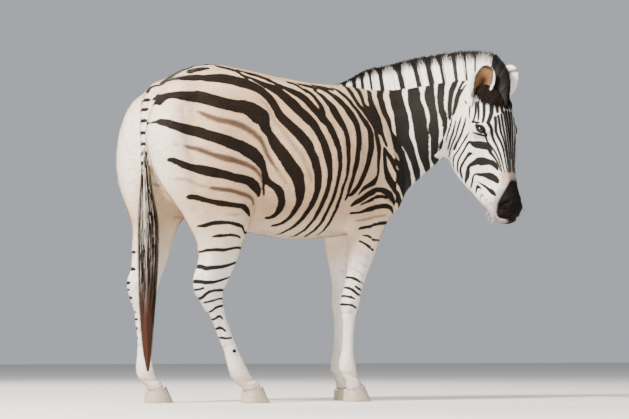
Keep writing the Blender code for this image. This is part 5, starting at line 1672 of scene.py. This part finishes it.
def make_tail(material):
    """Locks that hang from the dock and the tuft, black and grey, red-brown below."""
    random = np.random.default_rng(47)
    locks = TAIL_LOCKS
    each = max(4, int(HAIRS_A_LOCK * COAT_SHARE))
    rows = np.array(TAIL_TUFT)
    steps = 9
    # each lock starts at its own height on the dock or the tuft, and hangs
    start = np.where(random.random(locks) < 0.45, 0.0, random.random(locks) * 0.42)
    stop = np.minimum(start + random.uniform(0.50, 1.0, locks), random.uniform(0.80, 1.0, locks))
    stop = np.where(random.random(locks) < 0.30, random.uniform(0.94, 1.0, locks), stop)
    angle = random.random(locks) * 2 * math.pi
    rim = np.sqrt(random.uniform(0.15, 1.0, locks))
    kind = random.random(locks)
    climb = np.where(start == 0, random.uniform(-0.01, 0.10, locks), 0).clip(0)
    points, widths, grounds, tones, charts, facings = [], [], [], [], [], []
    share = np.linspace(0, 1, steps)
    for lock in range(locks):
        at = start[lock] + (stop[lock] - start[lock]) * share
        line = curve_at(rows, at)
        turn = angle[lock] + 0.5 * math.sin(lock * 1.7) * share
        swell = np.interp(share, (0, 0.25, 1), (0.55, 1.0, 0.82))
        wave = 0.10 * np.sin(at * 23 + lock * 0.7) + 0.07 * np.sin(at * 41 + lock * 1.9)
        out = rim[lock] * swell
        for _ in range(each):
            own = random.normal(0, 0.16, 2)
            reach = random.uniform(0.82, 1.0)
            loose = swell * share**0.4
            x = line[:, 0] + line[:, 3] * (out * np.cos(turn) * 0.86 + own[0] * loose + wave * 0.6)
            y = line[:, 1] + line[:, 3] * (out * np.sin(turn) * 0.86 + own[1] * loose + wave)
            z = line[0, 2] + (line[:, 2] - line[0, 2]) * reach
            # the topmost spring from the dock and lie on it
            hug = (1 - share) ** 5 * (climb[lock] > 0)
            x = x * (1 - hug) + (line[0, 0] - 0.003 + 0.0182 * math.cos(turn[0])) * hug
            y = y * (1 - hug) + (line[0, 1] + 0.0182 * math.sin(turn[0])) * hug
            z = z + climb[lock] * (1 - share) ** 3
            path = np.stack([x, y, z], axis=1)
            radial = np.array((math.cos(angle[lock]), math.sin(angle[lock]), 0.15))
            points.append(path)
            width = random.uniform(0.0010, 0.0022)
            widths.append(width * np.interp(share, (0, 0.1, 0.6, 1), (0.8, 1.0, 0.8, 0.0)))
            height = path[:, 2]
            red = smooth(0.50, 0.28, height) * 0.9
            pale = (kind[lock] + random.normal(0, 0.22) > 0.62) * (1 - smooth(0.62, 0.35, height))
            colour = filled(np.array(BLACK) * 1.6, steps)
            colour = blend(colour, np.array(BROWN) * 0.45, np.full(steps, 0.4 * (kind[lock] < 0.33)))
            colour = blend(colour, GREY_HAIR, pale * random.uniform(0.5, 1.0))
            colour = blend(colour, RED_HAIR, red * random.uniform(0.65, 1.0))
            grounds.append(colour)
            tones.append(random.normal(0.5, 0.2))
            facings.append(radial + random.normal(0, 0.18, 3))
            # the patch: near the root's place along and round the tail
            along = (start[lock] + random.normal(0, 0.01)) * 1.6 + 0.05
            charts.append((along, angle[lock] / (2 * math.pi) + own[0] * 0.03))
    points, widths = np.array(points), np.array(widths)
    facing = unit(np.array(facings))
    down = unit(points[:, 4] - points[:, 0])
    beside = unit(np.cross(facing, down))
    values = unstriped(np.array(grounds), np.clip(tones, 0, 1))
    charts = np.clip(np.array(charts), 0, 1)
    return joined_strips("tail_hair", points, widths, beside, facing, values, charts, material)


def make_tail_core(material):
    """The dense middle of the tail's tuft, inside its hair."""
    mesh = remeshed(mesh_of(node_form("tail_tuft", -0.007), "tail_core"), 0.0050)
    places = smoothed(places_of(mesh), edges_of(mesh), 10, 1.0)
    put_places(mesh, places)
    # black, red-brown below, both darker than the hair's: painted shade inside the tuft
    red = smooth(0.50, 0.28, places[:, 2])
    mark(mesh, CLEAR, 0.0, blend(filled(BLACK, len(places)), np.array(RED_HAIR) * 0.5, red), 0.3)
    shaded_smooth(mesh)
    return placed("tail_core", mesh, material)


# ---- ears ---------------------------------------------------------------------------
EAR_HAIRS = 9000  # on each ear
# half the width of an ear along its length
EAR_HALF_WIDTH = (
    (0.05, 0.3, 0.58, 0.74, 0.87, 0.95, 1.0),
    (0.032, 0.043, 0.050, 0.045, 0.036, 0.025, 0.011),
)


def ear_axes(side):
    """(root, run, its direction, where the hollow looks, across the ear)"""
    place, reach, turn = EAR_PLACES[side]
    run = DOWN * reach[0] + OUT * reach[1] + ACROSS * side * reach[2]
    along = unit(run)
    opening = OUT * math.cos(math.radians(turn)) + ACROSS * side * math.sin(math.radians(turn))
    opening = unit(opening - along * (opening @ along))
    return from_head(place[0], place[1], place[2] * side), run, along, opening, np.cross(along, opening)


def ear_colours(places, normals, side):
    """(colour, share of the ear's length, inside the hollow, on its rim) of points."""
    root, run, _, opening, beside = ear_axes(side)
    offset = places - root
    share = offset @ run / (run @ run)
    across = offset @ beside
    inside = smooth(0.15, 0.5, normals @ opening) * smooth(0.0, 0.1, share)
    count = len(places)
    apart = np.abs(across) / np.interp(share, *EAR_HALF_WIDTH)
    rim = smooth(0.72, 0.92, apart)
    # the back: white, with a broad dark band and a pale tip
    back = filled(WHITE, count)
    slant = share + 5.0 * across * side + 0.02 * np.sin(across * 150)
    band = smooth(0.70, 0.76, slant) * (1 - smooth(0.82, 0.88, slant))
    back = blend(back, BROWN, band * 0.85)
    # the hollow: tan, with painted shade darkening its depth, a pale rim and a dark edge towards the tip
    hollow = filled(EAR_TAN, count)
    # painted shade along the middle of the hollow, where it is deepest
    depth_shade = np.exp(-((across / 0.017) ** 2)) * smooth(0.06, 0.20, share) * (1 - smooth(0.55, 0.80, share))
    hollow = blend(hollow, (0.022, 0.009, 0.005), depth_shade * 0.95)
    hollow = blend(hollow, BLACK, smooth(0.58, 0.68, apart) * (1 - smooth(0.72, 0.82, apart)) * 0.6)
    hollow = blend(hollow, WHITE, rim * 0.95)
    hollow = blend(hollow, BLACK, smooth(0.86, 0.94, share) * 0.7)
    return back * (1 - inside[:, None]) + hollow * inside[:, None], share, inside, rim


def make_ear(side, skin_material, hair_material):
    name = SIDE_NAMES[side]
    mesh = remeshed(mesh_of(node_form("ear_" + name), "ear"), 0.0017)
    places = smoothed(places_of(mesh), edges_of(mesh), 22, 1.0)
    put_places(mesh, places)
    put_places(mesh, places - normals_of(mesh) * 0.0006)
    shaded_smooth(mesh)
    places, normals = places_of(mesh), normals_of(mesh)
    ground, share, inside, rim = ear_colours(places, normals, side)
    mark(mesh, CLEAR, 0.0, ground, 0.5)
    # hair: short on the back, long and pale along the rims of the hollow
    random = np.random.default_rng(60 + side)
    root, _, along, opening, beside = ear_axes(side)
    weights = 0.5 + 1.6 * rim * smooth(0.0, 0.1, share)
    hairs = int(EAR_HAIRS * COAT_SHARE)
    roots, facing = scattered(mesh, weights, hairs, random)
    colour, share, inside, rim = ear_colours(roots, facing, side)
    across = (roots - root) @ beside
    way = along * 0.9 + (beside[None, :] * (-np.sign(across) * 0.55 * inside * rim)[:, None])
    way = way + opening * (0.55 * inside * rim)[:, None]
    tangent = along_surface(way, facing)
    free = (inside * rim)[:, None]
    way = unit(tangent * (1 - 0.5 * free) + unit(way) * 0.5 * free + random.normal(0, 0.12, (hairs, 3)))
    length = 0.0055 + 0.0095 * inside * rim * (1 - smooth(0.7, 0.95, share))
    length = length * random.uniform(0.7, 1.2, hairs)
    lift = 0.0009 + 0.0012 * inside
    rows = tuft_rows(roots, facing, way, length, lift)
    side_way = unit(np.cross(facing, way))
    widths = random.uniform(0.0008, 0.0014, hairs)[:, None] * np.array((0.9, 1.0, 0.0))
    values = unstriped(colour, np.clip(random.normal(0.55, 0.2, hairs), 0, 1))
    aside = np.clip(across / 0.10 + 0.5, 0, 1) * 0.5 + 0.5 * (inside > 0.5)
    charts = np.clip(np.stack([np.clip(share, 0, 1), aside], axis=1), 0, 1)
    shading = unit(facing + random.normal(0, 0.12, (hairs, 3)))
    ear = placed("ear_skin_" + name, mesh, skin_material)
    hair_name = "ear_hair_" + name
    hair = joined_strips(hair_name, rows, widths, side_way, shading, values, charts, hair_material)
    return ear, hair


# ---- eyes and hooves ----------------------------------------------------------------
def eye_material():
    """A wet dark eye: brown iris, level slot of a pupil."""
    wet = {"Coat_Weight": 0.3, "Coat_Roughness": 0.02, "Specular_IOR_Level": 0.3}
    made = plain("eye_wet", (0.01, 0.006, 0.004), 0.05, **wet)
    tree = made.node_tree
    share = attribute(tree, "iris").outputs["Fac"]
    place = node(tree, "ShaderNodeTexCoord").outputs["Object"]
    streak = maths(tree, "MULTIPLY", noise(tree, 700, 2.0, 0.5, place), 0.6)
    brown = mixed(tree, streak, (0.014, 0.006, 0.003), (0.036, 0.016, 0.007))
    colour = mixed(tree, share, (0.0025, 0.002, 0.002), brown)
    tree.links.new(colour, tree.nodes["Principled BSDF"].inputs["Base Color"])
    return made


def make_eye(side, material):
    name = SIDE_NAMES[side]
    look, above, front = eye_axes(side)
    form = bmesh.new()
    bmesh.ops.create_uvsphere(form, u_segments=64, v_segments=40, radius=EYE_RADIUS)
    turn = Matrix((Vector(front), Vector(above), Vector(look))).transposed().to_4x4()
    bmesh.ops.transform(form, matrix=Matrix.Translation(Vector(eye_centre(side))) @ turn, verts=form.verts)
    bmesh.ops.recalc_face_normals(form, faces=form.faces)
    mesh = mesh_of(form, "eyeball_" + name)
    shaded_smooth(mesh)
    offset = places_of(mesh) - eye_centre(side)
    along, rise = offset @ front, offset @ above
    pupil = np.hypot(along / 0.0085, rise / 0.0042)
    rim = np.hypot(along, rise) / 0.0150
    iris = smooth(0.9, 1.15, pupil) * (1 - smooth(0.86, 1.0, rim)) * (offset @ look > 0)
    put_value(mesh, "iris", iris)
    return placed("eyeball_" + name, mesh, material)


# rings of the wall from the sole up: height, shift ahead, reach ahead, reach behind, half width
HOOF = (
    (0.0000, 0.011, 0.063, 0.051, 0.0430),
    (0.0006, 0.011, 0.0652, 0.0530, 0.0449),
    (0.0030, 0.011, 0.066, 0.054, 0.0455),
    (0.0120, 0.0098, 0.0625, 0.0523, 0.0453),
    (0.0220, 0.008, 0.058, 0.050, 0.0450),
)
HOOF_TOP = (0.044, 0.043, 0.0420)  # front, back, half width at the band
BAND_SLOPE = math.radians(18)
BAND_HEIGHT = 0.056
CORONETS = (
    ("hind_right_hoof", -0.243, -0.118),
    ("hind_left_hoof", -0.553, 0.118),
    ("fore_right_hoof", 0.262, -0.112),
    ("fore_left_hoof", 0.368, 0.112),
)
HOOF_POINTS = 72
HOOF_RINGS = 30


def hoof_ring(centre, ahead, side_way, front, back, half, front_power, back_power):
    angle = np.linspace(0, 2 * math.pi, HOOF_POINTS, endpoint=False)
    c, s = np.cos(angle), np.sin(angle)
    reach = np.where(c > 0, front, back)
    power = np.where(c > 0, 2 / front_power, 2 / back_power)
    along = np.sign(c) * np.abs(c) ** power * reach
    aside = np.sign(s) * np.abs(s) ** power * half
    return centre + np.outer(along, ahead) + np.outer(aside, side_way)


def shrunk(ring, share, rise):
    """A ring drawn in towards its middle and lifted."""
    middle = ring.mean(axis=0)
    return middle + (ring - middle) * share + UP * rise


def make_hoof(name, x, y, material):
    """A hoof from rings: a hollow sole, the wall, and the band under the hair."""
    side_way = np.array((0.0, 1.0, 0.0))
    uphill = np.array((math.cos(BAND_SLOPE), 0, math.sin(BAND_SLOPE)))
    front, back, half = HOOF_TOP
    top = hoof_ring(np.array((x, y, BAND_HEIGHT)), uphill, side_way, front, back, half, 2.1, 2.1)
    level = np.array((1.0, 0, 0))
    rings = []
    for height, shift, ahead, behind, wide in HOOF:
        middle = np.array((x + shift, y, height))
        rings.append(hoof_ring(middle, level, side_way, ahead, behind, wide, 2.2, 2.4))
    for step in range(1, HOOF_RINGS + 1):
        share = step / HOOF_RINGS
        ring = rings[len(HOOF) - 1] * (1 - share) + top * share
        middle = ring.mean(axis=0)
        growth = 0.00035 * math.sin(share * 34) + 0.0012 * math.exp(-(((1 - share) / 0.10) ** 2))
        out = unit(ring - middle)
        rings.append(ring + out * growth)
    # the rim turns in under the coronet hair
    for share, rise in ((0.97, 0.0012), (0.90, 0.0016), (0.60, 0.0010), (0.0, 0.0)):
        rings.append(shrunk(top, share, rise))
    # the sole rises to a plain hollow; it has no frog and no bars
    sole_rows = ((0.94, 0.0004), (0.86, 0.0022), (0.55, 0.0040), (0.0, 0.0045))
    sole = [shrunk(rings[0], share, rise) for share, rise in sole_rows]
    stack = np.concatenate([np.array(sole)[::-1], np.array(rings)])
    count = len(stack)
    places = stack.reshape(-1, 3)
    faces = []
    for row in range(count - 1):
        for step in range(HOOF_POINTS):
            following = (step + 1) % HOOF_POINTS
            faces.append((row * HOOF_POINTS + step, row * HOOF_POINTS + following,
                          (row + 1) * HOOF_POINTS + following, (row + 1) * HOOF_POINTS + step))
    form = bmesh.new()
    corners = [form.verts.new(place) for place in places]
    for face in faces:
        form.faces.new([corners[i] for i in face])
    bmesh.ops.remove_doubles(form, verts=form.verts, dist=1e-6)
    bmesh.ops.recalc_face_normals(form, faces=form.faces)
    mesh = mesh_of(form, name)
    shaded_smooth(mesh)
    return placed("horn_" + name, mesh, material)


def hoof_material():
    made = plain("hoof_horn", (0.20, 0.17, 0.14), 0.48, Specular_IOR_Level=0.45)
    tree = made.node_tree
    shader = tree.nodes["Principled BSDF"]
    place = node(tree, "ShaderNodeTexCoord").outputs["Object"]
    parts = node(tree, "ShaderNodeSeparateXYZ")
    tree.links.new(place, parts.inputs[0])
    stretch = node(tree, "ShaderNodeMapping")
    stretch.inputs["Scale"].default_value = (1.0, 1.0, 0.12)
    tree.links.new(place, stretch.inputs["Vector"])
    grain = noise(tree, 260, 3.0, 0.55, stretch.outputs[0])
    rings = noise(tree, 60, 2.0, 0.5, place)
    low = maths(tree, "MULTIPLY", parts.outputs["Z"], 16.0, clamp=True)
    colour = mixed(tree, low, (0.46, 0.37, 0.28), (0.33, 0.27, 0.22))
    colour = mixed(tree, maths(tree, "MULTIPLY", grain, 0.55), colour, (0.20, 0.165, 0.135))
    colour = mixed(tree, maths(tree, "MULTIPLY", rings, 0.35), colour, (0.55, 0.46, 0.36))
    tree.links.new(colour, shader.inputs["Base Color"])
    bumped(tree, grain, 0.35, 0.0008)
    return made


# ---- long and single hairs ----------------------------------------------------------
def hair_strips(name, groups, material, seed):
    """Single hairs: each group is (root, way, length, width, droop, colour, spread, count).
    Their patches of the OFBake map lie anywhere, not at the roots' places."""
    random = np.random.default_rng(seed)
    steps = np.linspace(0, 1, 6)
    rows, widths, colours, charts = [], [], [], []
    for number, (root, way, length, width, droop, colour, spread, count) in enumerate(groups):
        for _ in range(count):
            start = np.asarray(root) + random.normal(0, spread, 3)
            heading = unit(np.asarray(way) + random.normal(0, 0.22, 3))
            own = length * random.uniform(0.6, 1.15)
            path = start + np.outer(steps, heading) * own + np.outer(steps**2, droop) * own
            rows.append(path)
            widths.append(width * np.array((1.0, 0.95, 0.85, 0.7, 0.5, 0.0)))
            colours.append(colour)
            charts.append((((number * 37) % 97) / 97, random.random()))
    rows, widths = np.array(rows), np.array(widths)
    ways = unit(rows[:, -1] - rows[:, 0])
    beside = unit(np.cross(ways, random.normal(0, 1, rows[:, 0].shape)))
    facing = unit(np.cross(beside, ways))
    values = unstriped(np.array(colours), np.full(len(rows), 0.5))
    return joined_strips(name, rows, widths, beside, facing, values, np.array(charts), material)


def surface_finder(mesh):
    form = bmesh.new()
    form.from_mesh(mesh)
    tree = BVHTree.FromBMesh(form)
    form.free()
    return tree


def on_skin(finder, turn, down):
    """The skin's surface at (degrees round the head, down the face): (place, normal)."""
    angle = math.radians(turn)
    way = OUT * math.cos(angle) + ACROSS * math.sin(angle)
    inner = from_head(down, -HEAD_AXIS_BACK, 0)
    far = Vector(inner + way * 0.35)
    hit, normal, _, _ = finder.ray_cast(far, Vector(-way))
    if hit is None:
        return inner + way * 0.08, way
    return np.array(hit), np.array(normal)


DARK_HAIR, PALE_HAIR = (0.02, 0.014, 0.012), (0.55, 0.47, 0.40)
# whiskers: degrees round the head, down the face, how far they hang, length, colour, spread
WHISKERS = (
    (range(8, 70, 6), (0.575, 0.592, 0.606), 0.5, 0.024, DARK_HAIR, 0.0025),  # of the lips
    (range(60, 130, 9), (0.560, 0.580, 0.596), 0.6, 0.026, PALE_HAIR, 0.003),  # of the chin
)
# lashes of the upper and lower lid: 1 above or -1 below, height of the lid, places along
# it, out, up and forward, above the ball, length, width, droop, hairs at each place
LASHES = (
    (1, LID_UPPER, (-0.8, 0.85, 26), (0.9, 0.15, 0.5), 0.0026, 0.013, 0.00045, 0.25, 3),
    (-1, LID_LOWER, (-0.6, 0.7, 10), (0.8, -0.6, 0.4), 0.0022, 0.006, 0.0004, 0.1, 2),
)


def make_face_hairs(finder, material):
    groups = []
    for side in SIDE_NAMES:
        for turns, downs, hang, length, colour, spread in WHISKERS:
            for turn in turns:
                for down in downs:
                    place, normal = on_skin(finder, turn * side, down)
                    way = normal + DOWN * hang
                    groups.append((place, way, length, 0.00042, -UP * 0.18, colour, spread, 2))
        look, above, front = eye_axes(side)
        for sign, lid, along, (out, up, forward), rise, length, width, droop, hairs in LASHES:
            for share in np.linspace(*along):
                arch = math.sqrt(1 - share**2) * (1 - 0.12 * abs(share))
                flat = np.array((LID_HALF_LENGTH * share, sign * (lid * arch + 0.0012)))
                depth = math.sqrt(max(EYE_RADIUS**2 - flat @ flat, 0)) + rise
                root = eye_centre(side) + front * flat[0] + above * flat[1] + look * depth
                way = look * out + above * up + front * share * forward
                groups.append((root, way, length, width, -UP * droop, DARK_HAIR, 0.0006, hairs))
    return hair_strips("face_hairs", groups, material, 71)


# ---- build --------------------------------------------------------------------------
def dress():
    group = coat_group()
    skin_look = coat_material("skin_coat", group, 0.62, 0.0012, 0.20, 0.35, 0.02)
    coat_look = coat_material("coat_tufts", group, 0.60, 0.0012, 0.24, 0.0, 0.03)
    hair_look = coat_material("long_hair", group, 0.50, 0.0012, 0.30, 0.0, 0.02)
    skin_mesh = make_skin()
    finder = surface_finder(skin_mesh)
    pieces = make_coat(skin_mesh, coat_look)
    for piece in pieces:
        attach(piece, "root")
    face = make_face_hairs(finder, hair_look)
    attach(face, "root")
    skin = placed("skin", skin_mesh, skin_look)
    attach(skin, "root")
    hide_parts(*FLESH)
    core = make_mane_core(hair_look)
    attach(core, "root")
    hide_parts("mane")
    mane = make_mane(hair_look)
    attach(mane, "root")
    forelock = make_forelock(finder, hair_look)
    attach(forelock, "root")
    core = make_tail_core(hair_look)
    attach(core, "root")
    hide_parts("tail_tuft")
    tail = make_tail(hair_look)
    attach(tail, "root")
    for side, name in ((LEFT, "left"), (RIGHT, "right")):
        ear, hair = make_ear(side, skin_look, coat_look)
        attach(ear, "root")
        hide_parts("ear_" + name)
        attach(hair, "root")
    wet = eye_material()
    for side, name in ((LEFT, "left"), (RIGHT, "right")):
        ball = make_eye(side, wet)
        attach(ball, "root")
        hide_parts("eye_" + name)
    horn = hoof_material()
    for name, x, y in CORONETS:
        hoof = make_hoof(name, x, y, horn)
        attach(hoof, "root")
        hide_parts(name)


# ---- surroundings -------------------------------------------------------------------
def aimed(name, data, place, at):
    """A lamp or camera that looks at a point."""
    thing = bpy.data.objects.new(name, data)
    bpy.context.scene.collection.objects.link(thing)
    thing.location = place
    thing.rotation_euler = (Vector(at) - Vector(place)).to_track_quat("-Z", "Y").to_euler()
    return thing


def lamp(name, place, at, size, power, colour):
    data = bpy.data.lights.new(name, "AREA")
    data.shape = "RECTANGLE"
    data.size, data.size_y = size
    data.energy = power
    data.color = colour
    aimed(name, data, place, at)


def surroundings():
    bpy.ops.mesh.primitive_plane_add(size=60, location=(0, 0, -0.0002))
    floor = bpy.context.object
    floor.name = "studio_floor"
    look = plain("floor_pale", (0.62, 0.61, 0.59), 0.85, Specular_IOR_Level=0.1)
    floor.data.materials.append(look)
    world = bpy.data.worlds.new("studio")
    bpy.context.scene.world = world
    world.use_nodes = True
    background = world.node_tree.nodes["Background"]
    background.inputs["Color"].default_value = (0.80, 0.84, 0.90, 1.0)
    background.inputs["Strength"].default_value = 0.55
    lamp("key", (-6.8, -2.2, 6.4), (0, 0, 0.9), (1.8, 1.8), 3600, (1.0, 0.93, 0.84))
    lamp("rim", (1.0, 5.5, 5.0), (0.1, 0, 0.9), (2.5, 2.0), 500, (1.0, 0.96, 0.90))
    lamp("fill", (2.5, -7.5, 2.6), (0.1, 0, 0.8), (4.0, 3.0), 260, (0.95, 0.97, 1.0))
    camera = bpy.data.cameras.new("view")
    camera.sensor_width = 36.0
    camera.lens = 137.6
    bpy.context.scene.camera = aimed("view", camera, (-5.559, -8.208, 0.20), (0.0327, 0.0826, 0.797))


dress()
surroundings()
